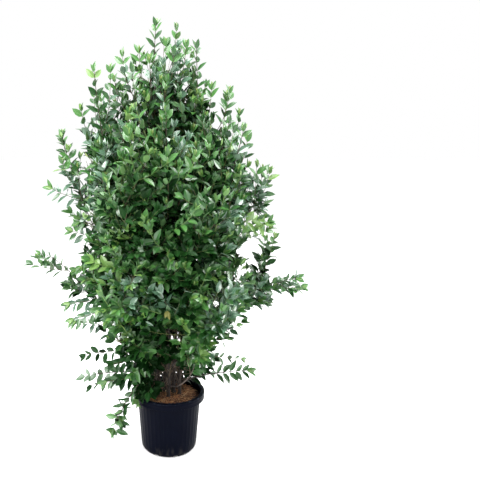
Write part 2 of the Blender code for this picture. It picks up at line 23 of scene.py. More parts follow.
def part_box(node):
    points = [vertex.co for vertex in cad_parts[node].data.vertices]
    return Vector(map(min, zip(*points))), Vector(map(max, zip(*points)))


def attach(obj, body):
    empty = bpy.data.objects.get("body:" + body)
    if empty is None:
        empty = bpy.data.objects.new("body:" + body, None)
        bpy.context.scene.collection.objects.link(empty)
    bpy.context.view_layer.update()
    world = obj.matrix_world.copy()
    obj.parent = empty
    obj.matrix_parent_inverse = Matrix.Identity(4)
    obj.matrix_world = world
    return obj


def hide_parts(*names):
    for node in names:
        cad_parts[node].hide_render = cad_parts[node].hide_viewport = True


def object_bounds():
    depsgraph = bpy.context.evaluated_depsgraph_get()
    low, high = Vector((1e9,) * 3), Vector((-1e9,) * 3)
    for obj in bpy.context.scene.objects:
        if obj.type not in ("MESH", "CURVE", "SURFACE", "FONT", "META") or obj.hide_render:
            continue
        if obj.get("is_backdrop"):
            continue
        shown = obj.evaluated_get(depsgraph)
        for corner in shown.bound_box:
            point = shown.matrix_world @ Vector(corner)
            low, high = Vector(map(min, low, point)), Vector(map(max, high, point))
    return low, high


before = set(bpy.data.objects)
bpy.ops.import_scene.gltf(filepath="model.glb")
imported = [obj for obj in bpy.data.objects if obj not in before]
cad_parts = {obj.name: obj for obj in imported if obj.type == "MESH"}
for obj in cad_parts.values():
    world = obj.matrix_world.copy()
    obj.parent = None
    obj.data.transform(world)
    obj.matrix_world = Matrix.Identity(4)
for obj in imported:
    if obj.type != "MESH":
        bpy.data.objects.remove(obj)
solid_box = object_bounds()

LOG = logging.getLogger("potted_privet")
BODY = "root"
UP = Vector((0, 0, 1))
FRONT = Vector((0, -1, 0))
SEED = 7
GAP = 0.00035  # clearance between solids that touch on the real plant
UPRIGHT = 0.05  # with less lean than this a direction counts as straight up
CREASE = radians(50)  # steeper edges stay sharp
EYE = Vector((0.0, -2.90, 1.55))  # where the photographer's lens was

Pair = tuple[float, float]
Colour = tuple[float, float, float]
Socket = bpy.types.NodeSocket
Skin = tuple[np.ndarray, np.ndarray, np.ndarray]  # points, corners and sizes of faces


class Side(Enum):
    """The kinds of face that a leaf has."""

    UPPER = 0
    VEIN = 1
    UNDER = 2


class Detail(Enum):
    """How finely a leaf's blade is made: (place, width) of the stations along it."""

    FINE = ((0.22, 0.74), (0.50, 1.00), (0.78, 0.64))
    PLAIN = ((0.32, 0.94), (0.67, 0.84))
    COARSE = ((0.48, 1.00),)


class LimbKind(Enum):
    """What a limb grows from: the soil or one of the outer stems."""

    STEM = "stem"
    BOUGH = "bough"


@dataclass(frozen=True)
class Habit:
    """How the shoots of a mass branch and set their leaves."""

    forks: tuple[float, ...]  # shares of the leading shoot at which side twigs leave it
    fine_forks: tuple[float, ...]  # shares of a side twig at which finer ones leave it
    sizes: tuple[float, ...]  # the lengths that a twig tries, as shares of its usual one
    droop: float  # how far the leaves hang
    pair_spacing: float = 0.033
    unruliness: float = 0.5  # how far leaves stray from their places
    rise: float = 0.5  # the share of a twig's length beyond its upward turn
    tip_pairs: tuple[float, ...] = (0.84, 0.58)  # the sizes of the young pairs that close a shoot


class Growth(Enum):
    """The habits: long straight whips, bushy side growth, loose low sprays, and stray shoots."""

    WHIPS = Habit(
        forks=(0.02, 0.09, 0.16, 0.23, 0.30, 0.37, 0.44, 0.51),
        fine_forks=(0.12, 0.28),
        sizes=(1.40, 1.20, 1.0, 0.86, 0.72, 0.58, 0.45),
        droop=0.0,
        unruliness=0.4,
        rise=0.68,
        tip_pairs=(0.76, 0.54, 0.33),
    )
    BUSHY = Habit(
        forks=(0.05, 0.16, 0.27, 0.38, 0.49, 0.60, 0.71),
        fine_forks=(0.22, 0.42, 0.62),
        sizes=(1.25, 1.0, 0.86, 0.72, 0.58, 0.45, 0.34),
        droop=0.08,
        unruliness=0.4,
    )
    SPRAYS = Habit(
        forks=(0.10, 0.26, 0.42, 0.58),
        fine_forks=(0.30, 0.52),
        sizes=(1.10, 0.86, 0.72, 0.58, 0.45, 0.34),
        droop=0.18,
        pair_spacing=0.034,
    )
    STRAYS = Habit(
        forks=(0.15, 0.38, 0.62),
        fine_forks=(),
        sizes=(0.85, 0.60, 0.45, 0.34),
        droop=0.30,
        pair_spacing=0.030,
        tip_pairs=(0.90, 0.66),
    )


@dataclass(frozen=True)
class Patch:
    """A patch of the front view: its centre on the plane through the axis, and its radius."""

    x: float
    height: float
    radius: float
    raggedness: float = 0.0  # how far its edge wavers

    @cached_property
    def sight(self) -> Vector:
        """The line of sight to its centre."""
        return Vector((self.x, 0, self.height)) - EYE

    def covers(self, point: Vector) -> bool:
        """Whether a point is seen in the patch.

        Args:
            point: a place on the plant.

        Returns:
            Whether the line of sight to it passes inside the patch's wavering edge.
        """
        reach = self.sight.length
        way = self.sight / reach
        to = point - EYE
        distance = to.dot(way)
        off = to - way * distance
        if off.length * reach > self.radius * (1 + 2 * self.raggedness) * distance:
            return False
        turn = atan2(off.z, off.x)
        waver = sin(3 * turn + 90 * self.x) + sin(5 * turn + 70 * self.height)
        radius = self.radius * (1 + self.raggedness * waver)
        return off.length * reach < radius * distance


def polar(azimuth: float, reach: float, height: float) -> Vector:
    """A point from its direction in degrees, its distance from the axis and its height."""
    turn = radians(azimuth)
    return Vector((reach * cos(turn), reach * sin(turn), height))


def bezier(controls: tuple[Vector, ...], share: float) -> Vector:
    """The point at a share of the Bezier curve with these control points."""
    points = list(controls)
    while len(points) > 1:
        points = [a.lerp(b, share) for a, b in zip(points, points[1:])]
    return points[0]


def curve(controls: tuple[Vector, ...], count: int) -> list[Vector]:
    """This many points along the Bezier curve with these control points."""
    return [bezier(controls, index / (count - 1)) for index in range(count)]


def along(points: list[Vector], share: float) -> tuple[Vector, Vector]:
    """Follows a line of points.

    Args:
        points: the line.
        share: how far along it, from 0 to 1.

    Returns:
        The point there and the line's direction.
    """
    place = min(max(share, 0.0), 1.0) * (len(points) - 1)
    index = min(int(place), len(points) - 2)
    start, end = points[index], points[index + 1]
    return start.lerp(end, place - index), (end - start).normalized()


def at_height(points: list[Vector], height: float) -> tuple[Vector, Vector]:
    """Follows a rising line of points up to a height.

    Args:
        points: the line.
        height: where to stop.

    Returns:
        The point there and the line's direction.
    """
    for start, end in zip(points, points[1:]):
        if start.z <= height <= end.z:
            share = (height - start.z) / (end.z - start.z)
            return start.lerp(end, share), (end - start).normalized()
    raise ValueError(f"no point of the limb is {height} m high")


def across(direction: Vector, turn: float) -> Vector:
    """The unit vector at right angles to a direction, turned about it from level."""
    level = direction.cross(UP)
    if level.length < UPRIGHT:
        level = Vector((1, 0, 0)) - direction * direction.x
    level.normalize()
    return Matrix.Rotation(turn, 3, direction) @ level


def taper(first: float, last: float, count: int) -> list[float]:
    """Radii that thin evenly from one end to the other."""
    return [first + (last - first) * index / (count - 1) for index in range(count)]


def length_of(points: list[Vector]) -> float:
    """The length of a line of points."""
    return sum((b - a).length for a, b in zip(points, points[1:]))


def smooth_step(low: float, high: float, value: float) -> float:
    """Rises smoothly from 0 at the low value to 1 at the high one."""
    share = min(max((value - low) / (high - low), 0.0), 1.0)
    return share * share * (3 - 2 * share)


def finder(places: list[Vector]) -> KDTree:
    """A tree that finds the nearest of these places."""
    tree = KDTree(len(places))
    for index, place in enumerate(places):
        tree.insert(place, index)
    tree.balance()
    return tree


def settle(shape: bmesh.types.BMesh, name: str) -> bpy.types.Mesh:
    """Turns an edited shape into a mesh and frees it."""
    mesh = bpy.data.meshes.new(name)
    shape.to_mesh(mesh)
    shape.free()
    return mesh


def stand(name: str, data: object) -> bpy.types.Object:
    """Puts a mesh, a lamp or a camera into the scene."""
    thing = bpy.data.objects.new(name, data)
    bpy.context.scene.collection.objects.link(thing)
    return thing


class Nodes:
    """Adds shader nodes to a new material and joins them."""

    def __init__(self, name: str) -> None:
        """Starts a material that has a Principled shader."""
        self.material = bpy.data.materials.new(name)
        self.material.use_nodes = True
        self.tree = self.material.node_tree
        self.shader = self.tree.nodes["Principled BSDF"]

    def add(self, kind: str, **inputs: object) -> bpy.types.Node:
        """Adds a node.

        Args:
            kind: the node's type, without its ShaderNode prefix.
            inputs: values or sockets for its inputs, by name with _ for a space.

        Returns:
            The node.
        """
        made = self.tree.nodes.new("ShaderNode" + kind)
        for name, value in inputs.items():
            self.put(made.inputs[name.replace("_", " ")], value)
        return made

    def put(self, socket: Socket, value: object) -> None:
        """Links a socket to another, or gives it a value, where three numbers can be a colour."""
        if isinstance(value, Socket):
            self.tree.links.new(value, socket)
        elif isinstance(value, tuple) and len(value) == 3 and socket.type == "RGBA":
            socket.default_value = (*value, 1)
        else:
            socket.default_value = value

    def place(self, stretch: tuple[float, float, float]) -> Socket:
        """The position on the part, scaled along each axis."""
        where = self.add("TexCoord").outputs["Object"]
        return self.add("Mapping", Vector=where, Scale=stretch).outputs["Vector"]

    def grain(self, vector: Socket, scale: float, detail: float) -> Socket:
        """Cloudy noise from 0 to 1."""
        return self.add("TexNoise", Vector=vector, Scale=scale, Detail=detail).outputs["Fac"]

    def between(self, value: Socket, low: float, high: float) -> Socket:
        """Where a value lies between two limits, from 0 to 1."""
        return self.add("MapRange", Value=value, From_Min=low, From_Max=high).outputs["Result"]

    def times(self, first: Socket, second: Socket) -> Socket:
        """The product of two values."""
        made = self.add("Math", Value=first)
        made.operation = "MULTIPLY"
        self.put(made.inputs[1], second)
        return made.outputs["Value"]

    def ramp(self, value: Socket, *stops: tuple[float, Colour]) -> Socket:
        """Colours that follow a value.

        Args:
            value: the value, from 0 to 1.
            stops: the values and their colours.

        Returns:
            The colour.
        """
        made = self.add("ValToRGB", Fac=value)
        elements = made.color_ramp.elements
        while len(elements) < len(stops):
            elements.new(1)
        for element, (position, colour) in zip(elements, stops):
            element.position = position
            element.color = (*colour, 1)
        return made.outputs["Color"]

    def mix(self, share: object, first: object, second: object) -> Socket:
        """Two colours mixed by a share of the second, from 0 to 1."""
        made = self.tree.nodes.new("ShaderNodeMix")
        made.data_type = "RGBA"
        self.put(made.inputs["Factor"], share)
        self.put(made.inputs["A"], first)
        self.put(made.inputs["B"], second)
        return made.outputs["Result"]

    def bump(self, height: Socket, depth: float) -> None:
        """Gives the shader a relief from 0 to this depth."""
        made = self.add("Bump", Height=height, Distance=depth)
        self.put(self.shader.inputs["Normal"], made.outputs["Normal"])

    def finish(self, **inputs: object) -> bpy.types.Material:
        """Sets the shader's inputs and returns the material."""
        for name, value in inputs.items():
            self.put(self.shader.inputs[name.replace("_", " ")], value)
        return self.material


@dataclass(frozen=True)
class PlainFinish:
    """One plain colour, for small things of which many colours are dealt out."""

    name: str
    colour: Colour
    roughness: float = 0.6
    specular: float = 0.5

    def material(self) -> bpy.types.Material:
        """The finish as a material."""
        return Nodes(self.name).finish(
            Base_Color=self.colour, Roughness=self.roughness, Specular_IOR_Level=self.specular
        )


@dataclass(frozen=True)
class PlasticFinish:
    """Blue-black moulded plastic: satin, finely grained, with scuffs and a painted blue sheen on the
    rim's top, and dusty at the foot.
    """

    deep: Colour = (0.0006, 0.0011, 0.0042)
    light: Colour = (0.0014, 0.0024, 0.0072)
    dust: Colour = (0.030, 0.028, 0.026)
    # lighter blue for the rim's top: scuffs, and a painted sheen where light falls there
    scuff_and_sheen: Colour = (0.025, 0.032, 0.048)
    dust_height: float = 0.075
    rim_height: float = 0.262
    rim_blend: float = 0.006
    cloud_size: float = 14
    speck_size: float = 55
    scuff_and_sheen_size: float = 90
    grain_size: float = 420
    grain_depth: float = 0.00025
    roughness: Pair = (0.30, 0.46)

    def material(self) -> bpy.types.Material:
        """Builds the finish.

        Returns:
            Its material.
        """
        nodes = Nodes("pot_plastic")
        place = nodes.place((1, 1, 1))
        clouds = nodes.grain(place, self.cloud_size, 4)
        body = nodes.mix(clouds, self.deep, self.light)
        height = nodes.add("SeparateXYZ", Vector=nodes.add("TexCoord").outputs["Object"]).outputs["Z"]
        low = nodes.between(height, self.dust_height, 0.0)
        specks = nodes.between(nodes.grain(nodes.place((1, 1, 0.35)), self.speck_size, 6), 0.52, 0.75)
        body = nodes.mix(nodes.times(low, specks), body, self.dust)
        # Scuffs and a painted blue sheen: lighter blue patches on the rim's top
        edge = nodes.between(height, self.rim_height, self.rim_height + self.rim_blend)
        scuff_and_sheen_mask = nodes.between(nodes.grain(place, self.scuff_and_sheen_size, 5), 0.54, 0.70)
        body = nodes.mix(nodes.times(edge, scuff_and_sheen_mask), body, self.scuff_and_sheen)
        smooth, rough = self.roughness
        shine = nodes.add("MapRange", Value=clouds, To_Min=smooth, To_Max=rough).outputs["Result"]
        nodes.bump(nodes.grain(place, self.grain_size, 2), self.grain_depth)
        return nodes.finish(Base_Color=body, Roughness=shine, Specular_IOR_Level=0.12, IOR=1.2)


@dataclass(frozen=True)
class SoilFinish:
    """Dark damp potting soil between the shreds of bark."""

    dark: Colour = (0.016, 0.009, 0.006)
    rusty: Colour = (0.085, 0.036, 0.016)
    crumb_size: float = 130
    crumb_depth: float = 0.003

    def material(self) -> bpy.types.Material:
        """Builds the finish.

        Returns:
            Its material.
        """
        nodes = Nodes("potting_soil")
        place = nodes.place((1, 1, 1))
        crumbs = nodes.grain(place, self.crumb_size, 6)
        colour = nodes.ramp(crumbs, (0.40, self.dark), (0.68, self.rusty))
        nodes.bump(crumbs, self.crumb_depth)
        return nodes.finish(Base_Color=colour, Roughness=0.95)


@dataclass(frozen=True)
class BarkFinish:
    """Grey-brown privet bark: long streaks, pale corky dots and a green-brown tinge."""

    dark: Colour = (0.012, 0.008, 0.006)
    brown: Colour = (0.020, 0.013, 0.009)
    grey: Colour = (0.038, 0.029, 0.022)
    dot: Colour = (0.075, 0.058, 0.042)
    streak_size: float = 330
    streak_depth: float = 0.0007
    cloud_size: float = 28
    dot_size: float = 150
    roughness: Pair = (0.72, 0.90)

    def material(self) -> bpy.types.Material:
        """Builds the finish.

        Returns:
            Its material.
        """
        nodes = Nodes("privet_bark")
        streaks = nodes.grain(nodes.place((1, 1, 0.12)), self.streak_size, 5)
        clouds = nodes.grain(nodes.place((1, 1, 0.5)), self.cloud_size, 3)
        colour = nodes.ramp(streaks, (0.30, self.dark), (0.50, self.brown), (0.72, self.grey))
        colour = nodes.mix(nodes.between(clouds, 0.45, 0.75), colour, self.dark)
        cells = nodes.add("TexVoronoi", Vector=nodes.place((1, 1, 0.6)), Scale=self.dot_size)
        dots = nodes.between(cells.outputs["Distance"], 0.20, 0.12)
        colour = nodes.mix(dots, colour, self.dot)
        nodes.bump(streaks, self.streak_depth)
        smooth, rough = self.roughness
        shine = nodes.add("MapRange", Value=clouds, To_Min=smooth, To_Max=rough).outputs["Result"]
        return nodes.finish(Base_Color=colour, Roughness=shine)


@dataclass(frozen=True)
class LeafColours:
    """The colours of a leaf's upper side, its vein and its underside."""

    upper: Colour
    vein: Colour
    under: Colour
    roughness: float = 0.33
    specular: float = 0.6
    vein_matt: float = 0.1  # how much rougher the vein is than the upper side, and the underside
    under_matt: float = 0.25
    under_specular: float = 0.2


class Tint(Enum):
    """The leaves' colours by age and light, dealt out by spray: SHADED is painted shade, DEEP is the dark
    green of older leaves and also painted shade, and the blue-grey tint is a painted sheen of the bright
    surroundings on glossy leaves.
    """

    SHADED = LeafColours((0.002, 0.014, 0.002), (0.010, 0.040, 0.008), (0.012, 0.040, 0.009), 0.45, 0.05)
    DEEP = LeafColours((0.008, 0.045, 0.007), (0.036, 0.104, 0.025), (0.046, 0.108, 0.034), 0.38, 0.22)
    MID = LeafColours((0.024, 0.092, 0.020), (0.082, 0.188, 0.052), (0.104, 0.200, 0.080), 0.30, 0.75)
    # Painted sheen: blue-grey, the bright surroundings reflected in the leaves, put into their colour
    BLUISH = LeafColours((0.069, 0.146, 0.087), (0.150, 0.250, 0.155), (0.190, 0.288, 0.205), 0.26, 0.95)
    GRASSY = LeafColours((0.046, 0.146, 0.030), (0.108, 0.250, 0.055), (0.122, 0.240, 0.076))
    FRESH = LeafColours((0.114, 0.228, 0.046), (0.200, 0.350, 0.082), (0.195, 0.325, 0.098), 0.40)
    BUD = LeafColours((0.215, 0.270, 0.084), (0.285, 0.350, 0.125), (0.270, 0.330, 0.125), 0.42)
    WITHERED = LeafColours((0.125, 0.125, 0.016), (0.170, 0.165, 0.030), (0.135, 0.130, 0.026), 0.6)

    def finishes(self) -> dict[Side, PlainFinish]:
        """The finish of each kind of face."""
        name, look = self.name.lower(), self.value
        vein = PlainFinish(f"leaf_vein_{name}", look.vein, look.roughness + look.vein_matt, look.specular)
        rough = look.roughness + look.under_matt
        return {
            Side.UPPER: PlainFinish(f"leaf_{name}", look.upper, look.roughness, look.specular),
            Side.VEIN: vein,
            Side.UNDER: PlainFinish(f"leaf_under_{name}", look.under, rough, look.under_specular),
        }


@dataclass(frozen=True)
class TintPlace:
    """A place of the front where most sprays share a few tints, among them painted sheen and painted
    shade.
    """

    patch: Patch
    tints: tuple[Tint, ...]
    chance: float = 0.7


class TwigTint(Enum):
    """The colours of shoots, from woody to this year's growth."""

    WOODY = PlainFinish("twig_woody", (0.046, 0.031, 0.022), 0.75)
    BROWN = PlainFinish("twig_brown", (0.072, 0.050, 0.026), 0.65)
    OLIVE = PlainFinish("twig_olive", (0.120, 0.140, 0.045), 0.55)
    GREEN = PlainFinish("twig_green", (0.170, 0.270, 0.070), 0.50)


class BarkShred(Enum):
    """The colours of the shredded bark on the soil."""

    RUST = PlainFinish("shred_rust", (0.270, 0.118, 0.048), 0.85)
    ORANGE = PlainFinish("shred_orange", (0.440, 0.215, 0.090), 0.85)
    BROWN = PlainFinish("shred_brown", (0.110, 0.048, 0.024), 0.90)
    DARK = PlainFinish("shred_dark", (0.038, 0.019, 0.012), 0.90)
    TAN = PlainFinish("shred_tan", (0.430, 0.265, 0.135), 0.85)


class Palette:
    """Makes each finish's material once."""

    def __init__(self) -> None:
        """Starts with no materials."""
        self.made: dict[object, bpy.types.Material] = {}

    def of(self, finish: object) -> bpy.types.Material:
        """The material of a finish."""
        if finish not in self.made:
            self.made[finish] = finish.material()
        return self.made[finish]


class Faces:
    """Gathers the faces of one mesh, each with its finish, and builds it in one go."""

    def __init__(self) -> None:
        """Starts with no faces."""
        self.points: list[np.ndarray] = []
        self.corners: list[np.ndarray] = []
        self.sizes: list[np.ndarray] = []
        self.looks: list[np.ndarray] = []
        self.finishes: list[object] = []
        self.count = 0

    def slot(self, finish: object) -> int:
        """The index of a finish among those of this mesh."""
        if finish not in self.finishes:
            self.finishes.append(finish)
        return self.finishes.index(finish)

    def add(self, points: np.ndarray, corners: np.ndarray, sizes: np.ndarray, looks: np.ndarray) -> None:
        """Adds faces.

        Args:
            points: the new points.
            corners: each face's points, one face after another, counted from the first new point.
            sizes: how many corners each face has.
            looks: each face's finish, as its index.
        """
        self.points.append(points)
        self.corners.append(corners + self.count)
        self.sizes.append(sizes)
        self.looks.append(looks)
        self.count += len(points)

    def add_plain(self, skin: Skin, finish: object) -> None:
        """Adds faces that all have one finish."""
        self.add(*skin, np.full(len(skin[2]), self.slot(finish)))

    @staticmethod
    def crease_at_finishes(mesh: bpy.types.Mesh) -> None:
        """Sharpens each edge between two finishes, such as that between a leaf's vein and its halves.

        Args:
            mesh: the mesh, with its faces' finishes.
        """
        edges = np.empty(len(mesh.loops), np.int32)
        mesh.loops.foreach_get("edge_index", edges)
        looks, sizes = (np.empty(len(mesh.polygons), np.int32) for _ in range(2))
        mesh.polygons.foreach_get("material_index", looks)
        mesh.polygons.foreach_get("loop_total", sizes)
        looks = np.repeat(looks, sizes)
        lowest = np.full(len(mesh.edges), np.iinfo(np.int32).max, np.int32)
        highest = np.full(len(mesh.edges), -1, np.int32)
        np.minimum.at(lowest, edges, looks)
        np.maximum.at(highest, edges, looks)
        sharp = np.empty(len(mesh.edges), bool)
        mesh.edges.foreach_get("use_edge_sharp", sharp)
        mesh.edges.foreach_set("use_edge_sharp", sharp | (lowest != highest))

    def mesh(self, name: str, palette: Palette, creased: bool = False) -> bpy.types.Mesh:
        """Builds the mesh.

        Args:
            name: its name.
            palette: where its materials come from.
            creased: whether the edges between two finishes are sharp.

        Returns:
            The gathered faces as a mesh with its materials.
        """
        corners, sizes = np.concatenate(self.corners), np.concatenate(self.sizes)
        made = bpy.data.meshes.new(name)
        made.vertices.add(self.count)
        made.vertices.foreach_set("co", np.concatenate(self.points).astype(np.float32).ravel())
        made.loops.add(len(corners))
        made.loops.foreach_set("vertex_index", corners.astype(np.int32))
        made.polygons.add(len(sizes))
        made.polygons.foreach_set("loop_start", (np.cumsum(sizes) - sizes).astype(np.int32))
        for finish in self.finishes:
            made.materials.append(palette.of(finish))
        made.polygons.foreach_set("material_index", np.concatenate(self.looks).astype(np.int32))
        made.update(calc_edges=True)
        made.validate()
        made.shade_smooth()
        made.set_sharp_from_angle(angle=CREASE)
        if creased:
            self.crease_at_finishes(made)
        return made


def tube(rings: np.ndarray) -> Skin:
    """A closed skin over rings of points.

    Args:
        rings: ring by ring, the same number of points in each, counterclockwise about its way.

    Returns:
        The skin.
    """
    count, sides = rings.shape[:2]
    ring = np.arange(sides)
    following = np.roll(ring, -1)
    starts = np.arange(count - 1)[:, None] * sides
    walls = np.stack(
        (starts + ring, starts + following, starts + sides + following, starts + sides + ring), axis=2
    )
    corners = np.concatenate((ring[::-1], walls.ravel(), ring + (count - 1) * sides))
    sizes = np.concatenate(([sides], np.full((count - 1) * sides, 4), [sides]))
    return rings.reshape(-1, 3), corners, sizes


def ring_frames(points: list[Vector]) -> tuple[np.ndarray, np.ndarray, np.ndarray]:
    """Finds directions square to a line of points, which turn as little as they can.

    Args:
        points: the line.

    Returns:
        The points, and the first and the second direction at each.
    """
    ways = [(b - a).normalized() for a, b in zip(points, points[1:])]
    ways.append(ways[-1])
    side = across(ways[0], 0)
    sides = []
    for way in ways:
        side = (side - way * side.dot(way)).normalized()
        sides.append(side.copy())
    ups = [way.cross(side) for way, side in zip(ways, sides)]
    return np.array(points), np.array(sides), np.array(ups)


def rod(points: list[Vector], radii: list[float], sides: int) -> Skin:
    """The skin of a closed tapering rod with this middle line and number of sides."""
    places, first, second = ring_frames(points)
    turns = np.arange(sides) * tau / sides
    circle = (
        first[:, None] * np.cos(turns)[None, :, None] + second[:, None] * np.sin(turns)[None, :, None]
    )
    return tube(places[:, None] + circle * np.array(radii)[:, None, None])


def filleted(corners: list[tuple[float, float, float]], steps: int = 4) -> list[Pair]:
    """An outline with rounded corners.

    Args:
        corners: (radius, height, fillet) of each corner of the outline.
        steps: how many stretches round each corner.

    Returns:
        The outline's (radius, height) points.
    """
    line = []
    last = len(corners) - 1
    for index, (radius, height, fillet) in enumerate(corners):
        here = Vector((radius, height))
        if fillet == 0 or index in (0, last):
            line.append(tuple(here))
            continue
        before = Vector(corners[index - 1][:2]) - here
        after = Vector(corners[index + 1][:2]) - here
        cut = min(fillet, before.length / 2, after.length / 2)
        controls = (here + before.normalized() * cut, here, here + after.normalized() * cut)
        line += [tuple(bezier(controls, step / steps)) for step in range(steps + 1)]
    return line


def show(name: str, mesh: bpy.types.Mesh, slot: str, *nodes: str) -> bpy.types.Object:
    """Makes a piece of the plant.

    Args:
        name: the piece's name.
        mesh: its shape, in the part's own frame.
        slot: the name of a material slot; not used.
        nodes: the solids that it stands for.

    Returns:
        The piece, which rides on the part's body.
    """
    piece = stand(name, mesh)
    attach(piece, BODY)
    if nodes:
        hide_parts(*nodes)
    return piece


@dataclass
class NurseryPot:
    """The pot: a thin ribbed wall that narrows downwards, a rolled rim, and drain holes at the foot."""

    palette: Palette
    height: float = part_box("pot")[1].z
    rim_radius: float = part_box("pot")[1].x
    rim_depth: float = 0.031
    rim_width: float = 0.017
    rim_rounding: float = 0.004
    rim_draw_in: float = 0.0015
    bead: float = 0.0012  # how far the beads on the rim's skirt stand out
    bead_places: Pair = (0.30, 0.42)  # as shares of the skirt
    wall_top_radius: float = 0.140
    wall_foot_radius: float = 0.1225
    foot_radius: float = 0.112
    foot_height: float = 0.015
    foot_chamfer: float = 0.004
    wall: float = 0.0028
    floor: float = 0.004
    edge: float = 0.0012  # how far edges are rounded
    ribs: int = 40
    rib_depth: float = 0.0010
    rib_fade: Pair = (1.5, 2.5)  # where ribs start and are whole, in foot heights
    rib_steps: int = 6  # points round the pot for each rib
    rib_rows: int = 16
    drain_holes: int = 8
    drain_width: float = 0.022
    drain_height: float = 0.009
    drain_reach: float = 0.03  # how far a hole cuts in, from half as far outside the foot
    drain_turn: float = 0.35
    drain_steps: int = 24

    @property
    def skirt_foot(self) -> float:
        """The height of the rim's lower edge."""
        return self.height - self.rim_depth

    def inner_radius(self, height: float) -> float:
        """How wide the pot is inside at a height."""
        share = (height - self.foot_height) / (self.skirt_foot - self.foot_height)
        outer = self.wall_foot_radius + (self.wall_top_radius - self.wall_foot_radius) * share
        return outer - self.wall

    def outline(self) -> list[Pair]:
        """Draws the pot's profile, up its inner side, over the rim and down its outer side.

        Returns:
            The profile's (radius, height) points.
        """
        inside = self.rim_radius - self.rim_width
        shoulder = self.height - self.rim_rounding
        skirt = self.rim_radius - self.rim_draw_in
        beads = []
        for share in self.bead_places:
            height = self.height - self.rim_depth * share
            radius = self.rim_radius - self.rim_draw_in * share
            step = 3 * self.bead
            beads += [
                (radius - self.bead, height + step, self.edge / 2),
                (radius, height, self.edge),
                (radius - self.bead, height - step, self.edge / 2),
            ]
        wall = []
        for row in range(self.rib_rows + 1):
            share = row / self.rib_rows
            radius = self.wall_top_radius + (self.wall_foot_radius - self.wall_top_radius) * share
            height = self.skirt_foot + (self.foot_height - self.skirt_foot) * share
            wall.append((radius, height, self.foot_chamfer if row == self.rib_rows else 0))
        return filleted(
            [
                (0, self.floor, 0),
                (self.foot_radius - self.wall, self.floor, self.edge),
                (self.wall_foot_radius - self.wall, self.foot_height + self.wall, self.edge),
                (self.wall_top_radius - self.wall, self.skirt_foot, self.edge),
                (inside, shoulder, self.edge),
                (inside, self.height, self.rim_rounding),
                (self.rim_radius, self.height, self.rim_rounding),
                *beads,
                (skirt, self.skirt_foot, self.edge),
                (skirt - self.wall, self.skirt_foot, self.edge),
                (self.rim_radius - self.rim_rounding, shoulder, self.edge),
                (inside + self.rim_rounding, shoulder, self.edge),
                *wall,
                (self.wall_foot_radius - self.foot_chamfer, self.foot_height / 2, self.edge),
                (self.foot_radius, self.foot_height / 2, self.edge),
                (self.foot_radius, 0, self.edge),
                (0, 0, 0),
            ]
        )

    def rib(self, turn: float, radius: float, height: float) -> float:
        """The relief of the outer wall.

        Args:
            turn: a place's direction about the pot.
            radius: its distance from the axis.
            height: its height.

        Returns:
            How far a rib raises the wall there.
        """
        if radius < self.inner_radius(height) + self.wall / 2 or radius > self.wall_top_radius:
            return 0.0
        start, whole = self.rib_fade
        fade = smooth_step(self.foot_height * start, self.foot_height * whole, height)
        fade *= 1 - smooth_step(self.skirt_foot - self.foot_height, self.skirt_foot, height)
        crest = max(cos(turn * self.ribs), 0.0) ** 2
        return self.rib_depth * fade * crest

    def body(self) -> bpy.types.Mesh:
        """Turns the pot.

        Returns:
            The ribbed pot, still without drain holes.
        """
        steps = self.ribs * self.rib_steps
        line = self.outline()
        shape = bmesh.new()
        rows = []
        for radius, height in line:
            if radius == 0:
                rows.append([shape.verts.new((0, 0, height))] * steps)
                continue
            row = []
            for step in range(steps):
                turn = tau * step / steps
                out = radius + self.rib(turn, radius, height)
                row.append(shape.verts.new((out * cos(turn), out * sin(turn), height)))
            rows.append(row)
        for upper, lower in zip(rows, rows[1:]):
            for step in range(steps):
                after = (step + 1) % steps
                ring = (upper[step], lower[step], lower[after], upper[after])
                shape.faces.new(tuple(dict.fromkeys(ring)))
        bmesh.ops.recalc_face_normals(shape, faces=shape.faces)
        return settle(shape, "pot_body")

    def drain_cutter(self) -> bpy.types.Mesh:
        """Makes the blocks that cut the drain holes.

        Returns:
            A flattened cylinder for each hole, as one mesh.
        """
        shape = bmesh.new()
        for index in range(self.drain_holes):
            azimuth = tau * (index + self.drain_turn) / self.drain_holes
            turn = Matrix.Rotation(azimuth, 4, "Z") @ Matrix.Translation((self.foot_radius, 0, 0))
            size = Matrix.Diagonal((self.drain_reach, self.drain_width / 2, self.drain_height, 1))
            lie = turn @ size @ Matrix.Rotation(pi / 2, 4, "Y")
            bmesh.ops.create_cone(
                shape, cap_ends=True, segments=self.drain_steps, radius1=1, radius2=1, depth=1, matrix=lie
            )
        return settle(shape, "drain_cutter")

    def build(self) -> list[bpy.types.Object]:
        """Makes the pot.

        Returns:
            The pot's one piece.
        """
        rough = stand("pot_rough", self.body())
        cutter = stand("drain_cutter", self.drain_cutter())
        cut = rough.modifiers.new("Drain", "BOOLEAN")
        cut.operation = "DIFFERENCE"
        cut.solver = "EXACT"
        cut.object = cutter
        bpy.context.view_layer.update()
        graph = bpy.context.evaluated_depsgraph_get()
        mesh = bpy.data.meshes.new_from_object(rough.evaluated_get(graph))
        for thing in (rough, cutter):
            bpy.data.objects.remove(thing)
        mesh.shade_smooth()
        mesh.set_sharp_from_angle(angle=CREASE)
        mesh.materials.clear()
        mesh.materials.append(self.palette.of(PlasticFinish()))
        return [show("nursery_pot", mesh, "pot_plastic", "pot")]


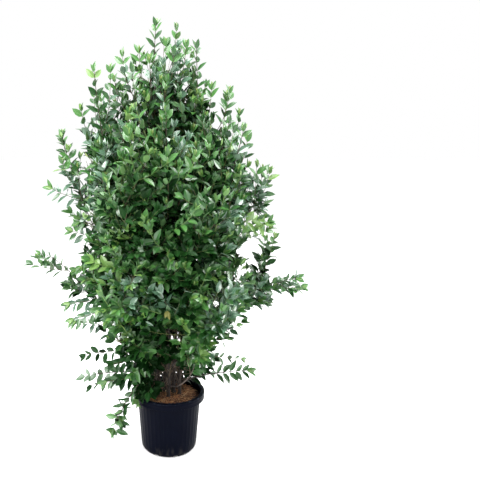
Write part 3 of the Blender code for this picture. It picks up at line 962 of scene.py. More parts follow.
@dataclass
class PottingBark:
    """The soil and roots in the pot, and the shredded bark strewn on top."""

    palette: Palette
    pot: NurseryPot
    top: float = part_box("root_ball")[1].z
    edge_drop: float = 0.009
    flat_radius: float = 0.072
    steps: int = 96
    rows: int = 24
    lump: float = 0.0022  # how far the soil rises and falls
    lump_scales: Pair = (38, 110)
    fine_lump: float = 0.6  # of the finer lumps
    flat_lump: float = 0.3  # of the lumps where the soil is flat
    shreds: int = 1500
    shred_length: Pair = (0.012, 0.062)
    shred_width: Pair = (0.0014, 0.0052)
    shred_lift: float = 0.0090  # how high shreds lie on one another
    shred_curl: float = 0.25
    shred_tilt: float = 0.35
    shred_thickness: float = 0.22  # of its width
    shred_profile: tuple[Pair, ...] = ((-0.5, 0.35), (-0.2, 1.0), (0.15, 0.9), (0.5, 0.25))
    weights: dict[BarkShred, int] = field(
        default_factory=lambda: {
            BarkShred.RUST: 9,
            BarkShred.ORANGE: 6,
            BarkShred.BROWN: 8,
            BarkShred.DARK: 5,
            BarkShred.TAN: 3,
        }
    )

    @property
    def radius(self) -> float:
        """How wide the soil is at its edge."""
        return self.pot.inner_radius(self.top - self.edge_drop) - GAP

    def surface(self, x: float, y: float) -> float:
        """The soil's height.

        Args:
            x: how far to the right a place is.
            y: how far to the back.

        Returns:
            The height there: lumpy, and lower towards the pot's wall.
        """
        slope = smooth_step(self.flat_radius, self.radius, hypot(x, y))
        coarse, fine = self.lump_scales
        lump = noise.noise(Vector((x, y, 0)) * coarse)
        lump += self.fine_lump * noise.noise(Vector((x, y, 1)) * fine)
        lump *= self.flat_lump + (1 - self.flat_lump) * slope
        return self.top - self.edge_drop * slope + self.lump * lump

    def soil(self) -> bpy.types.Mesh:
        """Makes the soil.

        Returns:
            A lumpy top on a plain body that fills the pot.
        """
        rings = []
        turns = [tau * step / self.steps for step in range(self.steps)]
        for row in range(1, self.rows + 1):
            reach = self.radius * row / self.rows
            ring = [(reach * cos(turn), reach * sin(turn)) for turn in turns]
            rings.append([(x, y, self.surface(x, y)) for x, y in ring])
        clear = self.pot.wall + GAP
        foot = self.pot.foot_height + clear
        sides = (
            (self.pot.inner_radius(foot) - GAP, foot),
            (self.pot.foot_radius - clear, self.pot.floor + GAP),
        )
        for reach, height in sides:
            rings.append([(reach * cos(turn), reach * sin(turn), height) for turn in turns])
        faces = Faces()
        faces.add_plain(tube(np.array(rings)[::-1]), SoilFinish())
        return faces.mesh("potting_soil", self.palette)

    def shred(self, rng: random.Random) -> Skin:
        """Makes one shred: a flat, slightly curled splinter that lies on the soil.

        Args:
            rng: where its size and place come from.

        Returns:
            Its skin.
        """
        length = rng.uniform(*self.shred_length)
        width = rng.uniform(*self.shred_width) * (0.6 + 0.4 * length / self.shred_length[1])
        room = self.radius - length / 2 - width
        reach = room * sqrt(rng.random())
        azimuth = rng.uniform(0, tau)
        heading = rng.uniform(0, tau)
        x, y = reach * cos(azimuth), reach * sin(azimuth)
        curl = rng.uniform(-self.shred_curl, self.shred_curl)
        tilt = rng.uniform(-self.shred_tilt, self.shred_tilt)
        lift = rng.uniform(0.0, self.shred_lift)
        centre = Vector((x, y, self.surface(x, y) + lift))
        rings = []
        for share, broad in self.shred_profile:
            turn = heading + curl * share
            way = Vector((cos(turn), sin(turn), sin(tilt)))
            side = Vector((-sin(turn), cos(turn), 0)) * width / 2 * broad
            middle = centre + way * length * share
            rise = UP * width * self.shred_thickness
            rings.append([middle - side, middle - rise, middle + side, middle + rise])
        return tube(np.array([[tuple(point) for point in ring] for ring in rings]))

    def build(self) -> list[bpy.types.Object]:
        """Makes the soil and its bark.

        Returns:
            The soil, then the shreds.
        """
        rng = random.Random(f"{SEED} shreds")
        kinds, weights = list(self.weights), list(self.weights.values())
        faces = Faces()
        for _ in range(self.shreds):
            faces.add_plain(self.shred(rng), rng.choices(kinds, weights)[0].value)
        shreds = faces.mesh("bark_shreds", self.palette)
        return [
            show("potting_soil", self.soil(), "potting_bark", "root_ball"),
            show("bark_shreds", shreds, "potting_bark"),
        ]


@dataclass(frozen=True)
class Tip:
    """Where a mass's highest leaves end."""

    azimuth: float
    reach: float
    height: float
    growth: Growth | None = None  # its own habit, where it isn't its tier's
    arch: float = 0.0  # how far its leading shoot bulges upwards
    leaf_size: float = 1.0  # of the leaves on that shoot

    def place(self) -> Vector:
        """The tip as a point."""
        return polar(self.azimuth, self.reach, self.height)


@dataclass(frozen=True)
class Tier:
    """The masses at one level of the crown, and the limbs that carry them."""

    name: str
    kind: LimbKind
    growth: Growth
    fork_height: float  # where its limbs start
    entry_height: float  # where they enter their masses
    entry_share: float  # of a tip's reach, at which they do
    limb_radii: Pair
    upturn: float  # how far twigs turn up, from 0 to 1
    tips: tuple[Tip, ...]
    twig_length: float = 0.240


@dataclass(frozen=True)
class Limb:
    """A stem or bough along its middle line."""

    name: str
    points: list[Vector]
    radii: list[float]


@dataclass(frozen=True)
class Mass:
    """One mass of foliage, which grows on from its limb along a leading shoot."""

    name: str
    tier: Tier
    growth: Growth
    tip: Tip
    limb: Limb
    leader: Limb


SOIL_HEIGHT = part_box("root_ball")[1].z
TIERS = (
    Tier(
        name="top", kind=LimbKind.STEM, growth=Growth.WHIPS, fork_height=SOIL_HEIGHT, entry_height=1.20,
        entry_share=0.75, limb_radii=(0.0078, 0.0043), upturn=0.75,
        tips=(Tip(178, 0.050, 1.880), Tip(352, 0.108, 1.790), Tip(84, 0.130, 1.740)),
    ),
    Tier(
        name="shoulder", kind=LimbKind.STEM, growth=Growth.WHIPS, fork_height=SOIL_HEIGHT,
        entry_height=1.00, entry_share=0.54, limb_radii=(0.0072, 0.0040), upturn=0.65,
        tips=(
            Tip(30, 0.290, 1.600), Tip(90, 0.280, 1.560), Tip(150, 0.350, 1.600),
            Tip(205, 0.325, 1.695), Tip(268, 0.290, 1.540), Tip(330, 0.345, 1.465),
        ),
    ),
    Tier(
        name="upper", kind=LimbKind.BOUGH, growth=Growth.BUSHY, fork_height=0.560, entry_height=0.800,
        entry_share=0.48, limb_radii=(0.0046, 0.0034), upturn=0.50,
        tips=(
            Tip(4, 0.432, 1.272), Tip(62, 0.430, 1.310), Tip(122, 0.440, 1.350),
            Tip(182, 0.450, 1.420), Tip(238, 0.445, 1.280), Tip(300, 0.425, 1.230),
        ),
    ),
    Tier(
        name="inner", kind=LimbKind.BOUGH, growth=Growth.BUSHY, fork_height=0.470, entry_height=0.640,
        entry_share=0.42, limb_radii=(0.0043, 0.0032), twig_length=0.230, upturn=0.45,
        tips=(Tip(270, 0.370, 1.060), Tip(91, 0.370, 1.040)),
    ),
    Tier(
        name="middle", kind=LimbKind.BOUGH, growth=Growth.BUSHY, fork_height=0.390, entry_height=0.520,
        entry_share=0.38, limb_radii=(0.0044, 0.0032), twig_length=0.230, upturn=0.30,
        tips=(
            Tip(357, 0.582, 0.797, arch=0.13, leaf_size=0.9), Tip(55, 0.480, 0.900),
            Tip(116, 0.490, 0.930), Tip(183, 0.582, 0.906, arch=0.20, leaf_size=0.72),
            Tip(236, 0.480, 0.850), Tip(297, 0.470, 0.790),
        ),
    ),
    Tier(
        name="skirt", kind=LimbKind.BOUGH, growth=Growth.SPRAYS, fork_height=0.310, entry_height=0.350,
        entry_share=0.42, limb_radii=(0.0038, 0.0030), twig_length=0.210, upturn=0.15,
        tips=(
            Tip(346, 0.385, 0.400), Tip(58, 0.400, 0.500), Tip(120, 0.410, 0.440),
            Tip(178, 0.412, 0.320), Tip(213, 0.300, 0.130, Growth.STRAYS), Tip(286, 0.385, 0.560),
        ),
    ),
)

# The outline of the crown's body: height, reach to the left (-X), to the right (+X) and to the front
# and back
OUTLINE = (
    (0.20, 0.15, 0.12, 0.24),
    (0.31, 0.19, 0.13, 0.27),
    (0.41, 0.24, 0.13, 0.33),
    (0.51, 0.27, 0.155, 0.37),
    (0.60, 0.33, 0.195, 0.41),
    (0.70, 0.34, 0.34, 0.43),
    (0.79, 0.37, 0.41, 0.44),
    (0.87, 0.40, 0.36, 0.45),
    (0.96, 0.34, 0.31, 0.45),
    (1.05, 0.36, 0.36, 0.45),
    (1.13, 0.37, 0.36, 0.44),
    (1.21, 0.35, 0.36, 0.43),
    (1.30, 0.37, 0.34, 0.41),
    (1.38, 0.37, 0.31, 0.38),
    (1.46, 0.36, 0.22, 0.34),
    (1.54, 0.29, 0.13, 0.29),
    (1.62, 0.25, 0.10, 0.22),
    (1.70, 0.22, 0.12, 0.17),
    (1.76, 0.13, 0.10, 0.11),
    (1.90, 0.04, 0.05, 0.04),
)
LOBE_DEPTH = 0.14  # how far its lobes and hollows stray from that
LOBE_SCALE = 11.0
SKY_GAPS = tuple(
    Patch(x / 1000, height / 1000, radius / 1000, 0.25)
    for x, height, radius in (  # in millimetres
        # In the top
        (-94, 1632, 12), (0, 1687, 14), (-28, 1739, 14), (-156, 1563, 13), (-81, 1679, 13),
        (69, 1544, 12), (65, 1600, 12), (-253, 1632, 9), (-77, 1548, 9), (-57, 1600, 9),
        (-151, 1612, 9), (-237, 1612, 9), (200, 1440, 18),
        # In the shoulders
        (-350, 1296, 16), (250, 1388, 10), (291, 1364, 10), (303, 1200, 13), (318, 1246, 9),
        (-359, 1221, 9), (-70, 1470, 9), (227, 1254, 9), (249, 1115, 12), (-304, 1183, 9),
        (216, 1110, 9),
        # In the middle
        (325, 915, 26), (-337, 1025, 17), (-313, 999, 9), (-344, 1068, 9), (219, 999, 9),
        (108, 880, 9), (309, 818, 15), (247, 814, 11), (301, 792, 12), (326, 849, 9), (227, 741, 9),
        # In the skirt
        (206, 678, 17), (163, 627, 9), (162, 713, 9), (-226, 495, 20), (-304, 583, 9),
        (-310, 697, 9), (-307, 661, 9), (-174, 434, 9),
        # Between the stems
        (-6, 535, 12), (14, 524, 16), (36, 540, 10), (48, 504, 12),
    )
)
# Where nothing hangs in front: the soil, the foot of the stems and the pot
BARE_FRONT = (
    Patch(0.078, 0.240, 0.050),
    Patch(0.010, 0.300, 0.022),
    Patch(0.072, 0.318, 0.040),
    Patch(0.010, 0.345, 0.042),
    Patch(-0.045, 0.335, 0.026),
    Patch(0.082, 0.352, 0.018),
    Patch(0.088, 0.070, 0.180),
    Patch(-0.090, 0.100, 0.045),
    Patch(-0.134, 0.118, 0.034),
)
WITHERED_PATCH = Patch(-0.009, 0.630, 0.012)
OLDER = {
    Tint.DEEP: Tint.SHADED,
    Tint.MID: Tint.DEEP,
    Tint.BLUISH: Tint.MID,
    Tint.GRASSY: Tint.MID,
    Tint.FRESH: Tint.GRASSY,
}
SPRAY_TINTS = (Tint.SHADED, Tint.DEEP, Tint.MID, Tint.BLUISH, Tint.GRASSY, Tint.FRESH)
# How often each of those comes, where a spray is deeper than this under the crown's outline: the dark
# tints that come deep inside are painted shade, and the blue-grey one that comes more outside is painted
# sheen
TINT_CHANCES = (
    (0.22, (8, 5, 2, 0.5, 0, 0)),
    (0.12, (3, 6, 5, 1.5, 1, 0)),
    (-inf, (1, 5, 6.5, 2.5, 3, 0.2)),
)
YOUNG_TINTS = (Tint.GRASSY, Tint.FRESH, Tint.BUD)  # of the pairs in a tuft
FRESH_TINTS = (Tint.FRESH, Tint.GRASSY, Tint.GRASSY)
SHEEN_TINTS = (Tint.BLUISH, Tint.BLUISH, Tint.MID)
# Painted shade, for the hollows of the crown and round the foot of the stems
SHADE_TINTS = (Tint.SHADED, Tint.DEEP, Tint.DEEP)
# Places of the front with their own tints: fresh tufts of young leaves, painted sheen on the flanks, the
# side branches and the top, and painted shade in the hollows and low down
TINT_PLACES = (
    TintPlace(Patch(0.444, 1.033, 0.050), FRESH_TINTS),  # at the right flank's tip
    TintPlace(Patch(-0.240, 0.640, 0.070), FRESH_TINTS),  # above the lower left spray
    TintPlace(Patch(-0.300, 0.920, 0.080), FRESH_TINTS),  # the left flank's tuft
    TintPlace(Patch(-0.084, 0.433, 0.038), FRESH_TINTS),  # two tufts in front of the stems
    TintPlace(Patch(0.155, 0.415, 0.026), FRESH_TINTS),
    TintPlace(Patch(0.113, 0.710, 0.040), FRESH_TINTS),
    TintPlace(Patch(0.430, 0.790, 0.130), SHEEN_TINTS, 0.85),  # the branch that reaches out to the right
    TintPlace(Patch(0.340, 1.250, 0.130), SHEEN_TINTS),  # the right flank
    TintPlace(Patch(0.320, 1.063, 0.100), SHEEN_TINTS),
    TintPlace(Patch(0.420, 1.180, 0.090), SHEEN_TINTS, 0.85),
    TintPlace(Patch(0.310, 0.687, 0.110), SHEEN_TINTS),
    TintPlace(Patch(0.234, 0.540, 0.080), SHEEN_TINTS),
    TintPlace(Patch(-0.400, 1.171, 0.120), SHEEN_TINTS),  # the left flank
    TintPlace(Patch(-0.338, 1.372, 0.130), SHEEN_TINTS),
    TintPlace(Patch(-0.440, 1.230, 0.080), SHEEN_TINTS, 0.85),
    TintPlace(Patch(-0.520, 0.890, 0.110), (Tint.MID, Tint.GRASSY), 1.0),  # the long branch at the left
    TintPlace(Patch(-0.185, 0.680, 0.045), SHEEN_TINTS),  # the lower left spray
    TintPlace(Patch(-0.126, 0.740, 0.040), SHEEN_TINTS),
    TintPlace(Patch(0.000, 1.720, 0.130), SHEEN_TINTS, 0.5),  # the top
    TintPlace(Patch(-0.081, 1.106, 0.140), SHADE_TINTS),  # the hollow in the middle
    TintPlace(Patch(-0.189, 0.977, 0.080), SHADE_TINTS),
    TintPlace(Patch(0.069, 0.933, 0.100), SHADE_TINTS),
    TintPlace(Patch(0.039, 0.755, 0.070), SHADE_TINTS),
    TintPlace(Patch(0.013, 1.213, 0.060), SHADE_TINTS),
    TintPlace(Patch(-0.010, 1.380, 0.100), (Tint.DEEP, Tint.DEEP, Tint.MID), 0.7),
    TintPlace(Patch(-0.106, 0.559, 0.060), SHADE_TINTS),
    TintPlace(Patch(-0.063, 0.353, 0.100), SHADE_TINTS, 0.85),
    TintPlace(Patch(-0.190, 0.400, 0.090), SHADE_TINTS),
)


@dataclass(frozen=True)
class Spray:
    """A long shoot that stands out of the crown's body, placed by where it ends."""

    x: float
    y: float
    height: float
    length: float
    rise: float  # 1 for an upright whip, 0 for a shoot that leans out level
    tint: Tint | None = None
    inward: float = 0.75  # how much of the rise is straight up
    slack: float = 0.40  # how far its leaves hang if it is level
    hang: float = 0.05
    low_bend: float = 0.3
    leaf_size: float = 1.0
    tip_leaf: Pair = (0.036, 0.020)  # beyond the end of a level shoot and of a whip

    @property
    def tip(self) -> Vector:
        """Where its last leaves end, raised by how far the others hang."""
        return Vector((self.x, self.y, self.height + self.hang * self.slack * (1 - self.rise)))

    def foot(self) -> Vector:
        """About where it leaves its limb."""
        outwards = Vector((self.x, self.y, 0)).normalized()
        back = outwards * (1 - self.inward * self.rise) + UP * 0.9 * self.rise
        return self.tip - back * self.length

    def controls(self, start: Vector) -> tuple[Vector, Vector, Vector]:
        """The curve from its limb: out to its side first, then up."""
        way = self.tip - start
        level, climb = Vector((way.x, way.y, 0)), UP * way.z
        bend = start + level * (0.5 + 0.4 * self.rise) + climb * (0.5 - self.low_bend * self.rise)
        beyond = self.tip_leaf[0] + (self.tip_leaf[1] - self.tip_leaf[0]) * self.rise
        return start, bend, self.tip - (self.tip - bend).normalized() * beyond


def sprays(*ends: tuple[float | Tint, ...], **shared: float | Tint) -> tuple[Spray, ...]:
    """Several sprays.

    Args:
        ends: each one's x, y, height and length in millimetres, its rise, and perhaps its tint.
        shared: values by name that are the same for all.

    Returns:
        The sprays.
    """
    return tuple(Spray(*(value / 1000 for value in end[:4]), *end[4:], **shared) for end in ends)


# By where they end. A single one is in metres, and those in a group are in millimetres.
STANDING_OUT = (
    # Whips at the top, from the middle to the left and to the right
    *sprays(
        (31, 0, 1850, 340, 1), (-122, 0, 1764, 320, 1), (-188, -50, 1743, 320, 1),
        (-230, -100, 1685, 280, 1), (-145, -120, 1682, 280, 1), (-309, 0, 1586, 260, 1),
        (-357, -50, 1529, 240, 1), (173, -50, 1618, 300, 1), (250, 0, 1601, 320, 1),
        (317, -100, 1410, 220, 0.9), (-221, -50, 1644, 280, 1), (-193, 20, 1610, 260, 1),
        (-77, -80, 1725, 300, 1), (20, -80, 1750, 300, 1), (70, -50, 1780, 320, 1),
        (-20, 50, 1800, 320, 1), (293, 20, 1510, 260, 1), (245, -60, 1480, 260, 1),
        (-10, -60, 1785, 300, 1), (45, 20, 1765, 300, 1),
    ),
    # The flanks
    *sprays(
        (-438, -80, 1312, 220, 0.6), (362, -50, 1301, 220, 0.9, Tint.BLUISH),
        (401, 50, 1276, 220, 0.8, Tint.BLUISH), (-515, 0, 1183, 240, 0.4), (-441, 0, 990, 200, 0.2),
        (429, -100, 1051, 200, 0.3, Tint.FRESH), (410, -30, 1065, 200, 0.3, Tint.GRASSY),
        (395, -80, 1050, 200, 0.3, Tint.FRESH), (440, -20, 1020, 220, 0.6, Tint.GRASSY),
    ),
    Spray(0.45, -0.05, 0.995, 0.62, 0.6, Tint.DEEP, inward=1.32, low_bend=0.0),
    Spray(0.425, 0, 0.945, 0.53, 0.6, Tint.MID, inward=1.33, low_bend=0.0),
    *sprays(
        (400, -30, 895, 440, 0.6, Tint.DEEP), (420, 30, 970, 570, 0.6, Tint.MID),
        inward=1.36, low_bend=0.0,
    ),
    *sprays(
        (-445, 0, 1425, 240, 0.7), (-415, -40, 1365, 220, 0.7), (425, 0, 1270, 200, 0.8, Tint.MID),
        (-440, 0, 1075, 200, 0.1), (-410, -50, 1030, 200, 0.1), (-372, 20, 1330, 200, 0.8),
        (-378, -60, 1290, 200, 0.7),
    ),
    # Along the two long side branches
    *sprays(
        (-430, -60, 825, 160, 0, Tint.GRASSY), (-420, 30, 805, 240, 0),
        (-385, -80, 790, 220, 0, Tint.GRASSY), (-350, -120, 780, 220, 0, Tint.GRASSY),
        (520, 20, 772, 140, 0, Tint.BLUISH), (475, -30, 757, 140, 0, Tint.BLUISH),
        (425, 40, 705, 160, 0, Tint.MID), (430, 60, 730, 160, 0, Tint.BLUISH),
        (400, -80, 714, 140, 0, Tint.BLUISH), (380, 0, 679, 160, 0, Tint.DEEP),
        (340, -100, 684, 140, 0, Tint.BLUISH), (305, -40, 645, 140, 0, Tint.MID),
        slack=0.2,
    ),
    # Low sprays at the left and at the right
    *sprays((-430, -80, 600, 220, 0), (-270, -120, 415, 180, 0, Tint.DEEP)),
    Spray(-0.38, -0.03, 0.272, 0.24, 0, Tint.DEEP, leaf_size=0.85),
    *sprays(
        (-310, -60, 310, 200, 0, Tint.MID), (-240, -100, 335, 140, 0, Tint.DEEP),
        (200, -60, 395, 140, 0, Tint.DEEP),
    ),
    Spray(0.36, 0.02, 0.385, 0.22, 0, Tint.MID, leaf_size=0.75),
    *sprays((-454, -50, 751, 240, 0.1), (-453, -100, 677, 260, 0), (-422, -200, 636, 260, 0)),
    Spray(-0.395, -0.1, 0.452, 0.24, 0, Tint.DEEP, leaf_size=0.85),
    Spray(0.347, 0, 0.587, 0.2, 0.1),
    # Tufts and sprays on the front
    *sprays(
        (-77, -420, 1104, 200, 0.7, Tint.GRASSY), (-240, -360, 1040, 200, 0.7, Tint.GRASSY),
        (105, -430, 1169, 200, 0.5, Tint.GRASSY), (11, -420, 966, 180, 0.2, Tint.FRESH),
        (-153, -420, 851, 240, 0.1, Tint.BLUISH), (-296, -360, 730, 260, 0, Tint.FRESH),
        (-264, -380, 690, 260, 0, Tint.BLUISH), (-335, -250, 934, 200, 0.4, Tint.FRESH),
        (-96, -300, 553, 180, 0.2, Tint.FRESH), (146, -250, 508, 180, 0.2, Tint.FRESH),
    ),
    *sprays(
        (-171, -200, 396, 140, 0), (-4, -360, 1372, 200, 0.9), (99, -360, 1365, 200, 0.9),
        (-153, -300, 1442, 220, 1),
        tint=Tint.GRASSY,
    ),
    *sprays(
        (-200, -380, 740, 240, 0, Tint.BLUISH), (-150, -400, 715, 240, 0, Tint.GRASSY),
        (-220, -340, 650, 220, 0, Tint.FRESH), (-100, -400, 690, 220, 0, Tint.BLUISH),
        (-180, -320, 600, 200, 0, Tint.GRASSY), (-262, -380, 745, 260, 0, Tint.GRASSY),
        (-240, -400, 715, 260, 0, Tint.BLUISH), (-210, -420, 750, 240, 0, Tint.GRASSY),
        (-175, -410, 735, 240, 0, Tint.BLUISH),
        slack=0.2,
    ),
    # The spray that hangs down beside the pot
    *sprays(
        (-205, -135, 105, 40, 0, Tint.MID), (-180, -155, 145, 40, 0, Tint.DEEP),
        (-245, -120, 165, 60, 0, Tint.MID), (-205, -160, 190, 50, 0, Tint.DEEP),
        slack=0.6,
    ),
    # Over the left of the pot's rim
    *sprays(
        (-120, -130, 320, 100, 0), (-30, -150, 330, 100, 0), (-150, -60, 335, 100, 0),
        (-80, -110, 345, 100, 0), (0, -140, 350, 100, 0),
        tint=Tint.SHADED,
    ),
    *sprays(
        (-160, -100, 285, 120, 0, Tint.DEEP), (-100, -170, 295, 120, 0, Tint.DEEP),
        (-60, -130, 300, 90, 0, Tint.SHADED), (-130, -150, 275, 120, 0, Tint.DEEP),
    ),
    # Shaded shoots round the foot of the stems
    *sprays(
        (-120, -120, 370, 100, 0.2), (-50, -150, 390, 100, 0.2), (-10, -170, 405, 100, 0.2),
        (60, -160, 415, 100, 0.2),
        tint=Tint.SHADED,
    ),
    *sprays(
        (-80, -140, 410, 100, 0.2, Tint.DEEP), (30, -150, 400, 100, 0.2, Tint.SHADED),
        (110, -120, 385, 100, 0.2, Tint.SHADED),
    ),
    *sprays(
        (-180, 80, 315, 120, 0.1), (-130, 120, 320, 120, 0.1), (-90, 100, 300, 100, 0.1),
        (-50, 140, 310, 120, 0.1), (-20, 100, 300, 100, 0.1), (10, 140, 310, 100, 0.1),
        (40, 100, 300, 100, 0.1), (60, 150, 315, 120, 0.1), (90, 100, 300, 100, 0.1),
        (125, 130, 315, 120, 0.1), (150, 70, 310, 120, 0.1), (190, 50, 335, 140, 0.1),
        tint=Tint.SHADED, slack=0.1,
    ),
    Spray(0.23, 0.04, 0.4, 0.14, 0.1, Tint.DEEP),
    # The shoot that ends in the withered leaf
    Spray(-0.009, -0.44, 0.721, 0.15, 0, Tint.DEEP, slack=0.8, leaf_size=0.75),
)


@dataclass
class Framework:
    """The stems that rise from the soil and the boughs that they bear, with their bark."""

    palette: Palette
    inner_foot_reach: float = 0.020
    outer_foot_reach: float = 0.054
    flare: float = 1.5
    flare_height: float = 0.035
    sway: float = 0.006
    sway_waves: int = 2
    outward: float = 0.5
    lift: float = 0.15
    stem_handle: float = 0.30
    bough_handle: float = 0.35
    fork_spread: float = 0.9
    uneven: float = 0.08
    step: float = 0.004  # between the rings of a limb's skin
    stem_sides: int = 16
    bough_sides: int = 12
    ridge: float = 0.10  # relief of the bark, as a share of the limb's radius
    node_spacing: float = 0.034  # between the rings that old leaf pairs left
    node_height: float = 0.0035
    node_swelling: float = 0.13
    furrow_scale: Pair = (1.7, 16)  # of the relief, round a limb and along it
    lump_scale: Pair = (0.8, 55)
    fluting: float = 0.09
    fluted_girth: float = 1.9  # a stem is fluted where it is thicker than this many times its end
    stubs: int = 9
    stub_heights: Pair = (0.018, 0.085)  # above the soil
    stub_lengths: Pair = (0.016, 0.030)
    stub_radii: Pair = (0.0021, 0.0034)
    stub_swing: float = 1.1  # to each side of straight out
    bare_twigs: int = 170
    bare_twig_heights: Pair = (0.262, 0.46)
    bare_twig_lengths: Pair = (0.05, 0.15)
    bare_twig_radii: Pair = (0.0012, 0.0021)
    bare_twig_end: float = 0.0006
    bare_twig_leans: Pair = (0.35, 1.0)
    bare_twig_bend: float = 0.55  # as a share of its length
    limbs: dict[str, list[Limb]] = field(default_factory=dict)

    def stray(self, height: float, rng: random.Random) -> float:
        """A height that strays a little, the more so the higher it is above the soil."""
        return height + (height - SOIL_HEIGHT) * rng.uniform(-self.uneven, self.uneven)

    def swaying(self, controls: tuple[Vector, ...], rng: random.Random) -> list[Vector]:
        """Follows a Bezier curve that sways a little to each side between its ends.

        Args:
            controls: the curve's control points.
            rng: where the direction of its swaying comes from.

        Returns:
            Points along it.
        """
        phase = rng.uniform(0, tau)
        side = Vector((cos(phase), sin(phase), 0))
        count = max(12, round((controls[-1] - controls[0]).length / self.step))
        points = []
        for index in range(count):
            share = index / (count - 1)
            wave = sin(self.sway_waves * tau * share + phase)
            bend = self.sway * sin(pi * share) * wave
            points.append(bezier(controls, share) + side * bend)
        return points

    def heading(self, tier: Tier, entry: Vector, tip: Vector) -> Vector:
        """The direction in which a limb enters its mass."""
        outwards = Vector((entry.x, entry.y, 0)).normalized()
        lean = outwards * (1 - tier.upturn) * self.outward + UP * self.lift
        return ((tip - entry).normalized() + lean).normalized()

    def stem(self, tier: Tier, tip: Tip, name: str, entry: Vector, rng: random.Random) -> Limb:
        """Grows a stem: straight up out of the soil with a flared foot, then out to its mass.

        Args:
            tier: the mass's tier.
            tip: where the mass ends.
            name: the stem's name.
            entry: where it enters the mass.
            rng: where its swaying comes from.

        Returns:
            The stem.
        """
        reach = self.inner_foot_reach if tier.name == "top" else self.outer_foot_reach
        foot = polar(tip.azimuth, reach, SOIL_HEIGHT + GAP)
        start = foot + UP * self.flare_height
        handle = (entry - start).length * self.stem_handle
        heading = self.heading(tier, entry, tip.place())
        points = self.swaying((start, start + UP * handle, entry - heading * handle, entry), rng)
        base, end = tier.limb_radii
        rise = [foot.lerp(start, step / 8) for step in range(8)]
        flare = [base * (1 + (self.flare - 1) * (1 - step / 8) ** 2) for step in range(8)]
        return Limb(name, rise + points, flare + taper(base, end, len(points)))

    def bough(
        self, tier: Tier, tip: Tip, name: str, ends: tuple[float, Vector], rng: random.Random
    ) -> Limb:
        """Grows a bough from the nearest outer stem.

        Args:
            tier: the mass's tier.
            tip: where the mass ends.
            name: the bough's name.
            ends: the height at which it leaves its stem, and where it enters the mass.
            rng: where its swaying comes from.

        Returns:
            The bough.
        """
        fork_height, entry = ends
        way = polar(tip.azimuth, 1, 0)
        stem = max(self.limbs["shoulder"], key=lambda limb: limb.points[0].dot(way))
        start, rising = at_height(stem.points, fork_height)
        outwards = (entry - start).normalized()
        leaving = (rising * (1 - self.fork_spread) + outwards * self.fork_spread).normalized()
        handle = (entry - start).length * self.bough_handle
        heading = self.heading(tier, entry, tip.place())
        points = self.swaying((start, start + leaving * handle, entry - heading * handle, entry), rng)
        return Limb(name, points, taper(*tier.limb_radii, len(points)))

    def grow(self) -> dict[str, list[Limb]]:
        """Works out every limb's line.

        Returns:
            The limbs by the name of their tier, in the order of the tier's tips.
        """
        for tier in TIERS:
            grown = self.limbs[tier.name] = []
            for index, tip in enumerate(tier.tips):
                name = f"{tier.kind.value}_{tier.name}_{index + 1}"
                rng = random.Random(f"{SEED} {name}")
                fork_height = self.stray(tier.fork_height, rng)
                entry_height = self.stray(tier.entry_height, rng)
                entry = polar(tip.azimuth, tip.reach * tier.entry_share, entry_height)
                if tier.kind is LimbKind.STEM:
                    grown.append(self.stem(tier, tip, name, entry, rng))
                else:
                    grown.append(self.bough(tier, tip, name, (fork_height, entry), rng))
        return self.limbs

    def rings(self, limb: Limb, sides: int) -> np.ndarray:
        """Shapes a limb's bark: furrowed lengthwise, with a swelling at each old leaf pair.

        Args:
            limb: the stem or bough.
            sides: how many points go round it.

        Returns:
            The bark's points, ring by ring.
        """
        places, first, second = ring_frames(limb.points)
        seed = sum(map(ord, limb.name))
        turns = np.arange(sides) * tau / sides
        rings = np.empty((len(places), sides, 3))
        travelled = 0.0
        for index, radius in enumerate(limb.radii):
            if index:
                travelled += (limb.points[index] - limb.points[index - 1]).length
            pair = round(travelled / self.node_spacing)
            nearness = (travelled - pair * self.node_spacing) / self.node_height
            swelling = self.node_swelling * exp(-nearness * nearness)
            girth = radius / limb.radii[-1]
            for corner, turn in enumerate(turns):
                relief = 0.0
                for strength, (round_it, along_it) in ((1, self.furrow_scale), (0.5, self.lump_scale)):
                    x, y = cos(turn) * round_it, sin(turn) * round_it
                    relief += strength * noise.noise(Vector((x, y, travelled * along_it + seed)))
                scar = 1 + 0.5 * cos(2 * (turn + pair * pi / 2))
                foot = self.fluting * max(girth - self.fluted_girth, 0) * cos(3 * turn + seed)
                out = radius * (1 + self.ridge * relief + swelling * scar + foot)
                rings[index, corner] = (
                    places[index] + (first[index] * cos(turn) + second[index] * sin(turn)) * out
                )
        return rings

    def pruned_stubs(self) -> bpy.types.Object:
        """Makes short stubs low on the stems, where twigs were cut off: bark round a pale face.

        Returns:
            The stubs as one piece.
        """
        rng = random.Random(f"{SEED} stubs")
        faces = Faces()
        wood = PlainFinish("cut_wood", (0.52, 0.42, 0.25), 0.8)
        stems = self.limbs["top"] + self.limbs["shoulder"]
        for index in range(self.stubs):
            stem = stems[(index * 4 + 7) % len(stems)]
            start, way = at_height(stem.points, SOIL_HEIGHT + rng.uniform(*self.stub_heights))
            out = Vector((start.x, start.y, 0)).normalized()
            out = Matrix.Rotation(rng.uniform(-self.stub_swing, self.stub_swing), 3, "Z") @ out
            out = (out * 0.9 + way * 0.6).normalized()
            length = rng.uniform(*self.stub_lengths)
            radius = rng.uniform(*self.stub_radii)
            points = [start + out * length * share for share in (0, 0.4, 0.7, 1.0)]
            skin = rod(points, [radius * 1.4, radius * 1.1, radius, radius * 0.95], 10)
            looks = np.full(len(skin[2]), faces.slot(BarkFinish()))
            looks[-1] = faces.slot(wood)
            faces.add(*skin, looks)
        return show("pruned_stubs", faces.mesh("pruned_stubs", self.palette), "bark")

